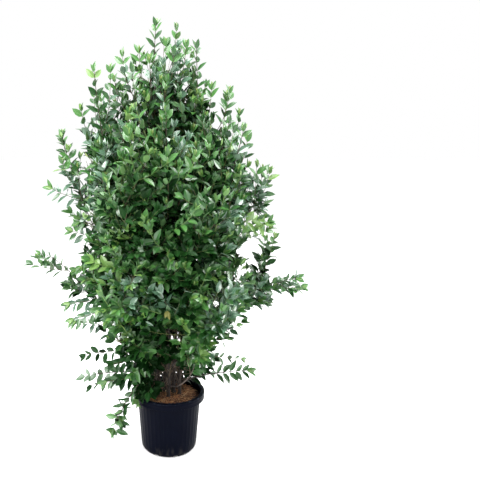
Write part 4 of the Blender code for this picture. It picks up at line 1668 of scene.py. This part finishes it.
    def foot_twigs(self) -> bpy.types.Object:
        """Makes the tangle of thin bare twigs low on the stems, where the light no longer reaches.

        Returns:
            The twigs as one piece.
        """
        rng = random.Random(f"{SEED} foot twigs")
        faces = Faces()
        stems = self.limbs["top"] + self.limbs["shoulder"]
        tints = (TwigTint.WOODY, TwigTint.WOODY, TwigTint.BROWN)
        for index in range(self.bare_twigs):
            stem = stems[index % len(stems)]
            start, way = at_height(stem.points, rng.uniform(*self.bare_twig_heights))
            lean = rng.uniform(*self.bare_twig_leans)
            out = way * cos(lean) + across(way, rng.uniform(0, tau)) * sin(lean)
            length = rng.uniform(*self.bare_twig_lengths)
            bend = start + out * length * self.bare_twig_bend
            upwards = out.lerp(UP, rng.uniform(0.1, 0.6)).normalized()
            end = bend + upwards * length * (1 - self.bare_twig_bend)
            radii = taper(rng.uniform(*self.bare_twig_radii), self.bare_twig_end, 6)
            faces.add_plain(rod(curve((start, bend, end), 6), radii, 5), rng.choice(tints).value)
        return show("foot_twigs", faces.mesh("foot_twigs", self.palette), "bark")

    def build(self) -> list[bpy.types.Object]:
        """Makes the bark of every limb.

        Returns:
            A piece for each limb, then the stubs and the bare twigs.
        """
        pieces = []
        for tier in TIERS:
            sides = self.stem_sides if tier.kind is LimbKind.STEM else self.bough_sides
            for limb in self.limbs[tier.name]:
                faces = Faces()
                faces.add_plain(tube(self.rings(limb, sides)), BarkFinish())
                mesh = faces.mesh(f"bark_{limb.name}", self.palette)
                pieces.append(show(f"bark_{limb.name}", mesh, "bark", limb.name))
        return pieces + [self.pruned_stubs(), self.foot_twigs()]


@dataclass(frozen=True)
class LeafShape:
    """One of the shapes that the leaves come in, 1 long: a short stalk and a pointed oval blade."""

    width: float = 0.46
    fold: float = 0.26  # how steeply its halves rise from the vein
    arch: float = 0.12  # how far its tip bends down
    twist: float = 0.0  # how far it turns about its length by the tip
    thickness: float = 0.014
    stalk: float = 0.06
    vein_half: float = 0.013

    def point(self, x: float, y: float, lower: float) -> tuple[float, float, float]:
        """Where a point of the flat leaf, this far under its upper side, is on the bent one."""
        z = abs(y) * self.fold - self.arch * x * x - lower
        turn = self.twist * x
        return (x, y * cos(turn) - z * sin(turn), y * sin(turn) + z * cos(turn))

    def points(self, detail: Detail) -> np.ndarray:
        """Shapes the leaf.

        Args:
            detail: how finely the blade is made.

        Returns:
            Its points: three round each end of the stalk, five at each station, and the tip.
        """
        made = []
        for x in (0.0, self.stalk):
            made += [self.point(x, y, 0) for y in (self.vein_half, -self.vein_half)]
            made.append(self.point(x, 0, self.vein_half))
        for x, share in detail.value:
            half, vein = self.width / 2 * share, self.vein_half * (1 - x)
            made += [self.point(x, y, 0) for y in (half, vein, -vein, -half)]
            made.append(self.point(x, 0, self.thickness))
        made.append(self.point(1, 0, 0))
        return np.array(made)

    @staticmethod
    def faces(detail: Detail) -> list[tuple[Side, tuple[int, ...]]]:
        """Joins the leaf's points.

        Args:
            detail: how finely the blade is made.

        Returns:
            The corners of each face, with the kind of side that it shows.
        """
        tip = 6 + 5 * len(detail.value)
        stations = [tuple(range(first, first + 5)) for first in range(6, tip, 5)]
        rings = [(0, 0, 1, 1, 2), (3, 3, 4, 4, 5), *stations, (tip,) * 5]
        strips = (
            (Side.UPPER, 1, 0),
            (Side.VEIN, 2, 1),
            (Side.UPPER, 3, 2),
            (Side.UNDER, 0, 4),
            (Side.UNDER, 4, 3),
        )
        made = [(Side.UNDER, (0, 2, 1))]
        for low, high in zip(rings, rings[1:]):
            for side, a, b in strips:
                face = tuple(dict.fromkeys((low[a], high[a], high[b], low[b])))
                if len(face) > 2:
                    made.append((side, face))
        return made


LEAF_SHAPES = (
    LeafShape(),
    LeafShape(width=0.43, fold=0.34, arch=0.20),
    LeafShape(width=0.50, fold=0.16, arch=0.06, twist=0.20),
    LeafShape(width=0.45, fold=0.28, arch=0.26, twist=-0.22),
)


@dataclass(frozen=True)
class Leaf:
    """A leaf: its root on a shoot, its direction, the way its upper side faces, size and looks."""

    root: Vector
    way: Vector
    face: Vector
    length: float
    tint: Tint
    shape: int
    detail: Detail
    breadth: float = 1.0  # against that of its shape

    def turn(self) -> np.ndarray:
        """Its length and directions as the rows of a matrix: to its tip, across, and up out of it."""
        side = self.face.cross(self.way) * self.breadth
        return np.array((self.way, side, self.face)) * self.length

    def at(self, share: float) -> Vector:
        """The point at a share of its length."""
        return self.root + self.way * self.length * share


@dataclass
class Shoot:
    """A leading shoot, a side twig or a finer twig along its middle line."""

    points: list[Vector]
    radii: list[float]
    order: int
    tint: Tint
    fresh: bool  # whether it ends in this year's pale leaves
    droop: float  # how far its leaves hang
    whip: bool = False  # whether it is upright and closes in a tuft of buds
    standing: bool = False  # whether it stands out of the crown's body
    leaf_size: float = 1.0

    @property
    def leaning(self) -> bool:
        """Whether it stands out and isn't upright."""
        return self.standing and not self.whip


@dataclass
class Space:
    """Where one mass may grow: inside the crown's outline or near its own leading shoot, and clear of
    the pot, the open foot and the limbs."""

    leader: Limb
    limbs: KDTree  # places along the middle lines of all stems and boughs
    steps: int = 24
    limb_margin: float = 0.004
    bare_height: float = 0.345
    hung_height: float = 0.270  # where sprays hang over the rim, at the back and at the left of the front
    hung_side: float = 0.03  # from the axis
    rim_clearance: float = 0.163
    lowest: float = 0.080
    sleeve: float = 0.060  # about the leading shoot, which may carry leaves beyond the outline

    def __post_init__(self) -> None:
        """Marks places along the leading shoot."""
        shares = [step / self.steps for step in range(self.steps + 1)]
        self.own = finder([along(self.leader.points, share)[0] for share in shares])

    @staticmethod
    def outline(point: Vector) -> float:
        """Follows the crown's outline.

        Args:
            point: a place on the plant.

        Returns:
            How far from the axis the crown goes at its height and on its side.
        """
        height = min(max(point.z, OUTLINE[0][0]), OUTLINE[-1][0])
        for low, high in zip(OUTLINE, OUTLINE[1:]):
            if height <= high[0]:
                share = (height - low[0]) / (high[0] - low[0])
                left, right, deep = (a + (b - a) * share for a, b in zip(low[1:], high[1:]))
                break
        reach = hypot(point.x, point.y)
        side = point.x / reach if reach else 0
        flank = right if side > 0 else left
        lobes = 1 + LOBE_DEPTH * noise.noise(point * LOBE_SCALE)
        return (deep + (flank - deep) * side * side) * lobes

    @classmethod
    def cover(cls, point: Vector) -> float:
        """How much of the crown is between a point and the outline."""
        return cls.outline(point) - hypot(point.x, point.y)

    @staticmethod
    def seen_through(point: Vector) -> bool:
        """Whether a point is in one of the gaps that sky shows through."""
        return any(patch.covers(point) for patch in SKY_GAPS)

    def clear(self, point: Vector) -> bool:
        """Whether a point is free.

        Args:
            point: a place on the plant.

        Returns:
            Whether it is outside the pot, the open foot and the limbs.
        """
        hung = point.x < -self.hung_side if point.y < 0 else point.y > self.hung_side
        bare = self.hung_height if hung else self.bare_height
        if hypot(point.x, point.y) <= self.rim_clearance and point.z <= bare:
            return False
        if point.z < self.lowest or self.limbs.find(point)[2] < self.limb_margin:
            return False
        return point.y >= 0 or not any(patch.covers(point) for patch in BARE_FRONT)

    def inside(self, point: Vector) -> bool:
        """Whether a point is clear and inside the crown's outline, or near the leading shoot."""
        within = hypot(point.x, point.y) <= self.outline(point)
        return (within or self.own.find(point)[2] < self.sleeve) and self.clear(point)


@dataclass
class Foliage:
    """Grows and dresses the twigs and leaves of one mass."""

    mass: Mass
    space: Space
    palette: Palette
    standing: list[tuple[Spray, Vector, float]] = field(default_factory=list)
    leaf_length: float = 0.058
    leaf_stray: Pair = (0.86, 1.10)  # in length
    whip_breadth: float = 1.08
    young_size: float = 0.8  # of the leaves that are still narrow
    young_breadth: float = 0.85
    young_from: float = 0.55  # the share of a shoot beyond which its leaves get smaller
    young_shrink: float = 0.15
    leaning_shrink: float = 0.27  # on shoots that lean out
    leaf_roll: float = 0.24
    pair_stray: float = 0.3  # about the shoot
    pair_nod: float = 0.13  # to and from it
    close_spacing: float = 0.031  # between the pairs on shoots that stand out
    foot_shade: Pair = (0.43, 0.23)  # the height and reach of the dark round the stems
    tinted_depth: float = 0.08  # behind the axis, as far as the places with their own tints reach
    older_share: float = 0.25  # of a spray's leaves, which show the next darker tint
    tinged_share: float = 0.4  # of fresh shoots, whose last full-sized pair is pale as well
    palest_share: float = 0.2  # of those pairs
    hollow: float = 0.20  # deeper than this under the outline few leaves get light enough
    inner_share: float = 0.30  # of leaves that live there
    fine_cover: float = 0.11  # less deep than this leaves are made finely
    fine_leaf_size: float = 0.92  # of leaves on the finest twigs
    leader_bare_share: float = 0.03  # of the leading shoot, at its root
    bare_share: float = 0.10
    end_room: float = 0.012  # between the last full-sized pair and the end
    first_pair: float = 0.35  # from the bare part, in spacings
    leaf_lean: float = radians(52)
    young_close: float = 0.2  # how much less young leaves lean out
    tip_lean: float = radians(24)
    tip_close: float = 0.35  # less for each pair of the tuft
    tip_room: float = 0.035  # for the leaves beyond a shoot's end
    tip_step: float = 0.006  # between the young pairs
    leaf_spread: float = 0.8
    leaf_lift: float = 0.15
    light_slant: float = 0.9
    front_turn: float = 0.45  # how far leaves turn to the side that the plant's front faces
    standing_turn: float = 1.4
    level_stray: float = 0.38  # about its shoot, of a leaf on one that leans out
    level_unruliness: float = 1.8
    whip_shown: float = 0.35  # how far at least the leaves on upright shoots turn to the light
    felt_at: tuple[float, ...] = (0.3, 0.65, 1)  # shares of a leaf's length that keep clear
    source_tip_reach: float = 0.140 * 0.62 * cos(radians(27))  # of a solid's largest leaf
    bend: float = 0.5
    collar: float = 0.012
    leader_end: float = 1.3  # its radius against that of other tips
    leader_points: int = 28
    standing_points: int = 16
    twig_points: int = 9
    fork_turn: float = radians(85)
    twig_lean: float = radians(48)
    twig_upturn: float = 0.8
    twig_sway: float = 0.35
    twig_shortening: float = 0.45
    twig_stray: Pair = (0.85, 1.15)  # in length
    fresh_chance: Pair = (0.06, 0.54)  # of a twig, and how much more of an upright one
    fine_length: float = 0.42  # of a finer twig, as a share of its side twig's
    fine_reach: Pair = (1.1, 0.6)  # that share at the root and its loss by the tip
    fine_least: float = 0.045
    fine_stray: Pair = (0.8, 1.2)
    limb_spacing: float = 0.072  # between the pairs of shoots that clothe a limb
    limb_shoot_length: float = 0.190
    limb_shoot_stray: Pair = (0.7, 1.2)
    limb_shoot_forks: tuple[float, ...] = (0.45,)
    bare_stem_height: float = 0.30
    bare_bough_share: float = 0.30
    tip_radius: float = 0.0008
    thickening: float = 10.0  # for each metre of a twig
    root_share: float = 0.75  # of its bearer's thickness, which a twig's root has at most
    shoots: list[Shoot] = field(default_factory=list)
    leaves: list[Leaf] = field(default_factory=list)

    def __post_init__(self) -> None:
        """Seeds the mass's own random draws."""
        self.rng = random.Random(f"{SEED} dressed {self.mass.name}")
        self.habit = self.mass.growth.value
        self.whip = self.mass.growth is Growth.WHIPS

    def spray_tint(self, place: Vector) -> Tint:
        """Draws the colour of a spray, darker deep inside the crown and round the foot of the stems as
        painted shade, and with the painted sheen and shade of the places with their own tints.

        Args:
            place: where the spray ends.

        Returns:
            The colour that it has by its place and by chance.
        """
        for there in TINT_PLACES:
            near = place.y < self.tinted_depth and there.patch.covers(place)
            if near and self.rng.random() < there.chance:
                return self.rng.choice(there.tints)
        height, reach = self.foot_shade
        if place.z < height and hypot(place.x, place.y) < reach:
            return Tint.SHADED
        cover = Space.cover(place)
        weights = next(weights for least, weights in TINT_CHANCES if cover > least)
        return self.rng.choices(SPRAY_TINTS, weights)[0]

    def root_radius(self, bearer: float, length: float) -> float:
        """How thick a twig of this length is where it leaves a shoot of that radius."""
        return min(bearer * self.root_share, self.tip_radius * (1 + self.thickening * length))

    def lead(self) -> Shoot:
        """Grows the leading shoot.

        Returns:
            The shoot, which carries on from the limb to the mass's tip.
        """
        limb, tip = self.mass.leader, self.mass.tip
        start, heading = limb.points[0], (limb.points[1] - limb.points[0]).normalized()
        target = tip.place()
        bend = start + heading * (target - start).length * self.bend + UP * tip.arch
        target -= (target - bend).normalized() * self.tip_room
        controls = (start + heading * self.collar, bend, target)
        points = [start - heading * GAP] + curve(controls, self.leader_points)
        radii = taper(limb.radii[0], self.tip_radius * self.leader_end, len(points))
        tint = self.spray_tint(target)
        return Shoot(points, radii, 0, tint, True, self.habit.droop, self.whip, True, tip.leaf_size)

    def stand_out(self) -> None:
        """Grows the mass's sprays that stand out of the crown's body."""
        for spray, start, thick in self.standing:
            points = curve(spray.controls(start), self.standing_points)
            base = self.root_radius(thick, length_of(points))
            radii = taper(base, self.tip_radius, len(points))
            # Sprays without their own tint take mid green and the blue-grey painted sheen at random
            tint = spray.tint or self.rng.choice((Tint.MID, Tint.BLUISH, Tint.MID, Tint.BLUISH))
            droop = spray.slack * (1 - spray.rise)
            whip = spray.rise > 0.5
            fresh = whip or tint not in (Tint.SHADED, Tint.DEEP)
            self.shoots.append(Shoot(points, radii, 1, tint, fresh, droop, whip, True, spray.leaf_size))

    def twig_on(self, parent: Shoot, share: float, turn: float, full: float, inner: bool) -> Shoot | None:
        """Grows a twig that leans out and then turns up.

        Args:
            parent: the shoot that it grows from.
            share: where on that shoot.
            turn: its direction about that shoot.
            full: its usual length.
            inner: whether it stays inside the crown and has no fresh tip.

        Returns:
            The longest such twig that there is room for, or none.
        """
        upturn = self.mass.tier.upturn
        start, way = along(parent.points, share)
        out = (way * cos(self.twig_lean) + across(way, turn) * sin(self.twig_lean)).normalized()
        up = out.lerp(UP, upturn * self.twig_upturn).normalized()
        thick = parent.radii[round(share * (len(parent.radii) - 1))]
        for size in self.habit.sizes:
            bend = start + out * full * size * (1 - self.habit.rise)
            points = curve((start, bend, bend + up * full * size * self.habit.rise), self.twig_points)
            end = points[-1] + up * self.tip_room
            if all(self.space.inside(point) for point in (*points[2:], end)):
                radii = taper(self.root_radius(thick, full * size), self.tip_radius, self.twig_points)
                least, more = self.fresh_chance
                fresh = not inner and self.rng.random() < least + more * upturn
                tint = self.spray_tint(points[-1])
                return Shoot(points, radii, parent.order + 1, tint, fresh, self.habit.droop, self.whip)
        return None

    def twigs(
        self, parent: Shoot, share: float, turn: float, lengths: tuple[float, Pair], inner: bool
    ) -> Iterator[Shoot]:
        """Grows two opposite twigs.

        Args:
            parent: the shoot that they grow from.
            share: where on that shoot.
            turn: the first one's direction about that shoot.
            lengths: their usual length, and the least and the most that they stray from it.
            inner: whether they stay inside the crown and have no fresh tips.

        Yields:
            Each twig that there is room for, before the next one grows.
        """
        full, stray = lengths
        for side in (0, pi):
            sway = self.rng.uniform(-self.twig_sway, self.twig_sway)
            length = full * self.rng.uniform(*stray)
            twig = self.twig_on(parent, share, turn + side + sway, length, inner)
            if twig:
                self.shoots.append(twig)
                yield twig

    def branch(self) -> None:
        """Grows every shoot: side twigs in opposite pairs up the leading shoot, each pair turned
        from the last, then finer twigs on those in the same way."""
        leader = self.lead()
        self.shoots.append(leader)
        first_turn = self.rng.uniform(0, tau)
        spare = self.source_tip_reach - self.tip_room
        for level, share in enumerate(self.habit.forks):
            full = self.mass.tier.twig_length * (1 - self.twig_shortening * share) + spare
            turn = first_turn + level * self.fork_turn
            for twig in self.twigs(leader, share, turn, (full, self.twig_stray), False):
                self.refine(twig, self.habit.fine_forks, False)

    def clothe_limb(self) -> None:
        """Grows leafy shoots along the limb, above its bare foot."""
        limb = self.mass.limb
        count = int(length_of(limb.points) / self.limb_spacing)
        parent = Shoot(limb.points, limb.radii, 0, Tint.SHADED, False, self.habit.droop)
        first_turn = self.rng.uniform(0, tau)
        stem = self.mass.tier.kind is LimbKind.STEM
        lengths = (self.limb_shoot_length, self.limb_shoot_stray)
        for level in range(count):
            share = (level + 0.5) / count
            place, _ = along(limb.points, share)
            if place.z < self.bare_stem_height if stem else share < self.bare_bough_share:
                continue
            turn = first_turn + level * self.fork_turn
            for twig in self.twigs(parent, share, turn, lengths, True):
                self.refine(twig, self.limb_shoot_forks, True)

    def refine(self, twig: Shoot, forks: tuple[float, ...], inner: bool) -> None:
        """Grows the finer twigs of a side twig.

        Args:
            twig: the side twig.
            forks: the shares of its length at which they leave it.
            inner: whether they stay inside the crown and have no fresh tips.
        """
        length = length_of(twig.points)
        first_turn = self.rng.uniform(0, tau)
        reach, loss = self.fine_reach
        for level, share in enumerate(forks):
            full = max(length * self.fine_length * (reach - share * loss), self.fine_least)
            turn = first_turn + level * self.fork_turn
            for _ in self.twigs(twig, share, turn, (full, self.fine_stray), inner):
                pass

    def leaf_on(
        self, shoot: Shoot, share: float, turn: float, hand: int, lean: float
    ) -> tuple[Vector, Vector, Vector]:
        """How a leaf leaves a shoot.

        Args:
            shoot: what it grows on.
            share: where on the shoot.
            turn: its direction about the shoot.
            hand: 1 or -1, the side to which it spreads on a level shoot.
            lean: the angle between it and the shoot.

        Returns:
            Its root, its direction and where its upper side faces: up and outwards, to the light,
            on a level shoot.
        """
        root, way = along(shoot.points, share)
        level = 1 - abs(way.z)
        light = UP + Vector((root.x, root.y, 0)).normalized() * self.light_slant
        light += FRONT * (self.standing_turn if shoot.standing else self.front_turn)
        spread = way.cross(light).normalized() * hand
        side = across(way, turn).lerp(spread, self.leaf_spread * level).normalized()
        if shoot.leaning:
            side = Matrix.Rotation(self.rng.gauss(0, self.level_stray), 3, way) @ side
        out = way * cos(lean) + side * sin(lean)
        out = (out + UP * (self.leaf_lift * self.mass.tier.upturn - shoot.droop)).normalized()
        upper = light - out * light.dot(out)
        inner = way - out * way.dot(out)
        shown = max(level, self.whip_shown) if shoot.whip else level
        face = (inner * (1 - shown) + upper * shown).normalized()
        stray = self.rng.gauss(0, self.leaf_roll)
        return root, out, Matrix.Rotation(stray, 3, out) @ face

    def place(self, leaf: Leaf, standing: bool) -> None:
        """Adds a leaf if there is room for it.

        Args:
            leaf: the leaf, which keeps off the pot and the limbs.
            standing: whether it may be outside the crown.
        """
        within = standing or self.space.inside(leaf.at(1)) or self.space.inside(leaf.at(0.5))
        places = [leaf.at(share) for share in self.felt_at]
        if within and all(self.space.clear(place) for place in places):
            if not any(self.space.seen_through(place) for place in places):
                self.leaves.append(leaf)

    def leaf_out(self, shoot: Shoot) -> None:
        """Sets leaf pairs along a shoot, each a quarter turn from the last, down in size to its tip.

        Args:
            shoot: the shoot.
        """
        length = length_of(shoot.points)
        bare = self.bare_share if shoot.order else self.leader_bare_share
        spacing = self.habit.pair_spacing
        if shoot.leaning:
            spacing = min(spacing, self.close_spacing)
        count = max(1, round((length * (1 - bare) - self.end_room) / (spacing / shoot.leaf_size)))
        turn = self.rng.uniform(0, tau)
        grown = self.leaf_length * shoot.leaf_size
        shrink = self.leaning_shrink if shoot.leaning else self.young_shrink
        for index in range(count):
            share = bare + (1 - bare) * (index + self.first_pair) / (count + self.first_pair)
            young = smooth_step(self.young_from, 1.0, share)
            size = grown * (1.0 - shrink * young)
            size *= self.fine_leaf_size if shoot.order == 2 else 1.0
            lean = self.leaf_lean - self.young_close * young
            tint = shoot.tint
            last = shoot.fresh and index == count - 1
            if last and (shoot.whip or self.rng.random() < self.tinged_share):
                tint = Tint.FRESH if self.rng.random() < self.palest_share else Tint.GRASSY
            self.pair(shoot, share, turn + index * pi / 2, lean, size, tint)
        sizes = (Growth.WHIPS if shoot.whip else Growth.BUSHY).value.tip_pairs
        for index, size in enumerate(sizes):
            share = 1 - self.tip_step * (len(sizes) - 1 - index) / length
            tint = YOUNG_TINTS[index] if shoot.fresh else shoot.tint
            lean = self.tip_lean * (1 - self.tip_close * index)
            quarter = (count + index) * pi / 2
            self.pair(shoot, share, turn + quarter, lean, grown * size, tint)

    def pair(
        self, shoot: Shoot, share: float, turn: float, lean: float, length: float, tint: Tint
    ) -> None:
        """Sets two opposite leaves, each a little out of line and a little unlike the other.

        Args:
            shoot: what they grow on.
            share: where on the shoot.
            turn: the first one's direction about the shoot.
            lean: the angle between them and the shoot.
            length: their usual length.
            tint: their colour, unless one is older or withered.
        """
        hand = 1 if cos(turn) > 0 else -1
        unruliness = self.habit.unruliness * (self.level_unruliness if shoot.leaning else 1)
        young = length < self.leaf_length * self.young_size
        breadth = self.young_breadth if young else self.whip_breadth if shoot.whip else 1.0
        for side in (1, -1):
            stray = self.rng.uniform(-self.pair_stray, self.pair_stray) * unruliness
            turned = turn + stray + (0 if side == 1 else pi)
            leaned = lean + self.rng.gauss(0, self.pair_nod) * unruliness
            grown = length * self.rng.uniform(*self.leaf_stray)
            root, out, face = self.leaf_on(shoot, share, turned, hand * side, leaned)
            cover = 0.0 if shoot.standing else Space.cover(root)
            if cover > self.hollow and self.rng.random() > self.inner_share:
                continue
            detail = Detail.FINE if cover < self.fine_cover else Detail.PLAIN
            detail = detail if cover < self.hollow else Detail.COARSE
            withered = root.y < 0 and WITHERED_PATCH.covers(root)
            older = self.rng.random() < self.older_share
            look = Tint.WITHERED if withered else OLDER.get(tint, tint) if older else tint
            shape = self.rng.randrange(len(LEAF_SHAPES))
            self.place(Leaf(root, out, face, grown, look, shape, detail, breadth), shoot.standing)

    def twig_mesh(self) -> bpy.types.Mesh:
        """Makes the twigs.

        Returns:
            Every shoot of the mass as one mesh.
        """
        faces = Faces()
        looks = (TwigTint.WOODY, TwigTint.BROWN, TwigTint.OLIVE)
        for shoot in self.shoots:
            thinned = slice(None, None, 2) if shoot.order == 2 else slice(None)
            tint = TwigTint.GREEN if shoot.tint in (Tint.FRESH, Tint.GRASSY) else looks[shoot.order]
            skin = rod(shoot.points[thinned], shoot.radii[thinned], 6 - shoot.order)
            faces.add_plain(skin, tint.value)
        return faces.mesh(f"twigs_{self.mass.name}", self.palette)

    def leaf_mesh(self) -> bpy.types.Mesh:
        """Makes the leaves.

        Returns:
            Every leaf of the mass as one mesh.
        """
        faces = Faces()
        kinds = {detail: LeafShape.faces(detail) for detail in Detail}
        corners = {detail: np.concatenate([ring for _, ring in kinds[detail]]) for detail in Detail}
        sizes = {detail: np.array([len(ring) for _, ring in kinds[detail]]) for detail in Detail}
        forms = {detail: [shape.points(detail) for shape in LEAF_SHAPES] for detail in Detail}
        looks = {}
        for leaf in self.leaves:
            look = (leaf.tint, leaf.detail)
            if look not in looks:
                finishes = leaf.tint.finishes()
                looks[look] = np.array([faces.slot(finishes[side]) for side, _ in kinds[leaf.detail]])
            points = forms[leaf.detail][leaf.shape] @ leaf.turn() + np.array(leaf.root)
            faces.add(points, corners[leaf.detail], sizes[leaf.detail], looks[look])
        return faces.mesh(f"leaves_{self.mass.name}", self.palette, creased=True)

    def build(self) -> list[bpy.types.Object]:
        """Grows the mass.

        Returns:
            Its twigs, then its leaves.
        """
        self.branch()
        self.stand_out()
        if self.mass.growth is not Growth.STRAYS:
            self.clothe_limb()
        for shoot in self.shoots:
            self.leaf_out(shoot)
        node = f"foliage_{self.mass.name}"
        return [
            show(f"twigs_{self.mass.name}", self.twig_mesh(), "bark", node),
            show(f"leaves_{self.mass.name}", self.leaf_mesh(), "privet_leaf", node),
        ]


@dataclass
class Crown:
    """All the masses of foliage."""

    palette: Palette
    limbs: dict[str, list[Limb]]

    def plan(self) -> list[Mass]:
        """Lays out the masses.

        Returns:
            The masses, each with a leading shoot that goes on from its limb's tip.
        """
        masses = []
        for tier in TIERS:
            for index, (tip, limb) in enumerate(zip(tier.tips, self.limbs[tier.name])):
                end, before = limb.points[-1], limb.points[-2]
                heading = (end - before).normalized()
                start = end + heading * GAP
                target = tip.place()
                bend = start + heading * (target - start).length * Foliage.bend + UP * tip.arch
                collar = start + heading * Foliage.collar
                points = [start] + curve((collar, bend, target), 12)
                radii = taper(limb.radii[-1], Foliage.tip_radius, len(points))
                leader = Limb(limb.name, points, radii)
                growth = tip.growth or tier.growth
                name = f"{tier.name}_{index + 1}"
                masses.append(Mass(name, tier, growth, tip, limb, leader))
        return masses

    @staticmethod
    def bearers(masses: list[Mass]) -> dict[str, list[tuple[Spray, Vector, float]]]:
        """Finds what bears each spray that stands out.

        Args:
            masses: every mass of the crown.

        Returns:
            By the mass's name, each spray with the place and the girth of the limb that it leaves.
        """
        places = []
        for mass in masses:
            for limb in (mass.leader, mass.limb):
                places += [(mass.name, point, radius) for point, radius in zip(limb.points, limb.radii)]
        tree = finder([point for _, point, _ in places])
        borne = {mass.name: [] for mass in masses}
        for spray in STANDING_OUT:
            name, point, radius = places[tree.find(spray.foot())[1]]
            borne[name].append((spray, point, radius))
        return borne

    def build(self) -> list[bpy.types.Object]:
        """Grows every mass.

        Returns:
            The twigs and leaves of each.
        """
        masses = self.plan()
        tree = finder([point for limbs in self.limbs.values() for limb in limbs for point in limb.points])
        pieces = []
        leaves = 0
        borne = self.bearers(masses)
        for mass in masses:
            foliage = Foliage(mass, Space(mass.leader, tree), self.palette, borne[mass.name])
            pieces += foliage.build()
            leaves += len(foliage.leaves)
            LOG.info("%s: %d shoots, %d leaves", mass.name, len(foliage.shoots), len(foliage.leaves))
        LOG.info("%d leaves in all", leaves)
        return pieces


@dataclass
class Studio:
    """A pale floor, soft light from above and all round, and a camera where the photographer stood."""

    pitch: float = radians(78.4)
    lens: float = 51.75
    shift: float = 0.148
    floor_size: float = 30.0
    floor_colour: Colour = (1.0, 1.0, 1.0)
    world_strength: float = 1.0
    aim: Vector = field(default_factory=lambda: Vector((0, 0, 1.0)))
    lamps: tuple[tuple[object, ...], ...] = (
        ("overhead", (-0.4, -0.7, 4.2), 2.2, 240),
        ("front_left", (-2.4, -3.2, 3.8), 1.6, 120),
        ("left", (-3.0, 0.5, 2.2), 2.2, 130),
        ("right", (3.0, 0.5, 2.2), 2.2, 160),
    )

    def floor(self) -> None:
        """The floor, which isn't part of the plant."""
        shape = bmesh.new()
        bmesh.ops.create_grid(shape, x_segments=1, y_segments=1, size=self.floor_size / 2)
        mesh = settle(shape, "floor")
        mesh.materials.append(PlainFinish("floor_white", self.floor_colour, 0.9, 0.2).material())
        stand("floor", mesh)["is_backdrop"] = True

    def lamp(self, name: str, place: tuple[float, float, float], size: float, power: float) -> None:
        """Sets up a square soft light that shines on the crown's middle.

        Args:
            name: its name.
            place: where it stands.
            size: how wide it is.
            power: its power in watts.
        """
        light = bpy.data.lights.new(name, "AREA")
        light.size = size
        light.energy = power
        lamp = stand(name, light)
        lamp.location = place
        lamp.rotation_euler = (self.aim - lamp.location).to_track_quat("-Z", "Y").to_euler()

    def build(self) -> None:
        """Sets up the floor, the lights and the camera."""
        scene = bpy.context.scene
        self.floor()
        for lamp in self.lamps:
            self.lamp(*lamp)
        world = bpy.data.worlds.new("white_room")
        world.use_nodes = True
        sky = world.node_tree.nodes["Background"]
        sky.inputs["Color"].default_value = (1, 1, 1, 1)
        sky.inputs["Strength"].default_value = self.world_strength
        scene.world = world
        scene.view_settings.view_transform = "Standard"
        lens = bpy.data.cameras.new("camera")
        lens.lens = self.lens
        lens.shift_x = self.shift
        camera = stand("camera", lens)
        camera.location = EYE
        camera.rotation_euler = (self.pitch, 0, 0)
        scene.camera = camera


def write_sizes() -> None:
    """Gathers the solid model's box and the dressed one's as lists of corners."""
    boxes = {"cad": solid_box, "visual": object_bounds()}
    text = {name: [list(corner) for corner in box] for name, box in boxes.items()}


def main() -> None:
    """Builds the potted plant and its studio, and reports each piece."""
    logging.basicConfig(level=logging.INFO, format="%(name)s: %(message)s")
    palette = Palette()
    studio = Studio()
    pot = NurseryPot(palette)
    framework = Framework(palette)
    limbs = framework.grow()
    for assembly in (pot, PottingBark(palette, pot), framework, Crown(palette, limbs)):
        for piece in assembly.build():
            LOG.info("%s has %d faces", piece.name, len(piece.data.polygons))
    studio.build()
    write_sizes()


if __name__ == "__main__":
    main()
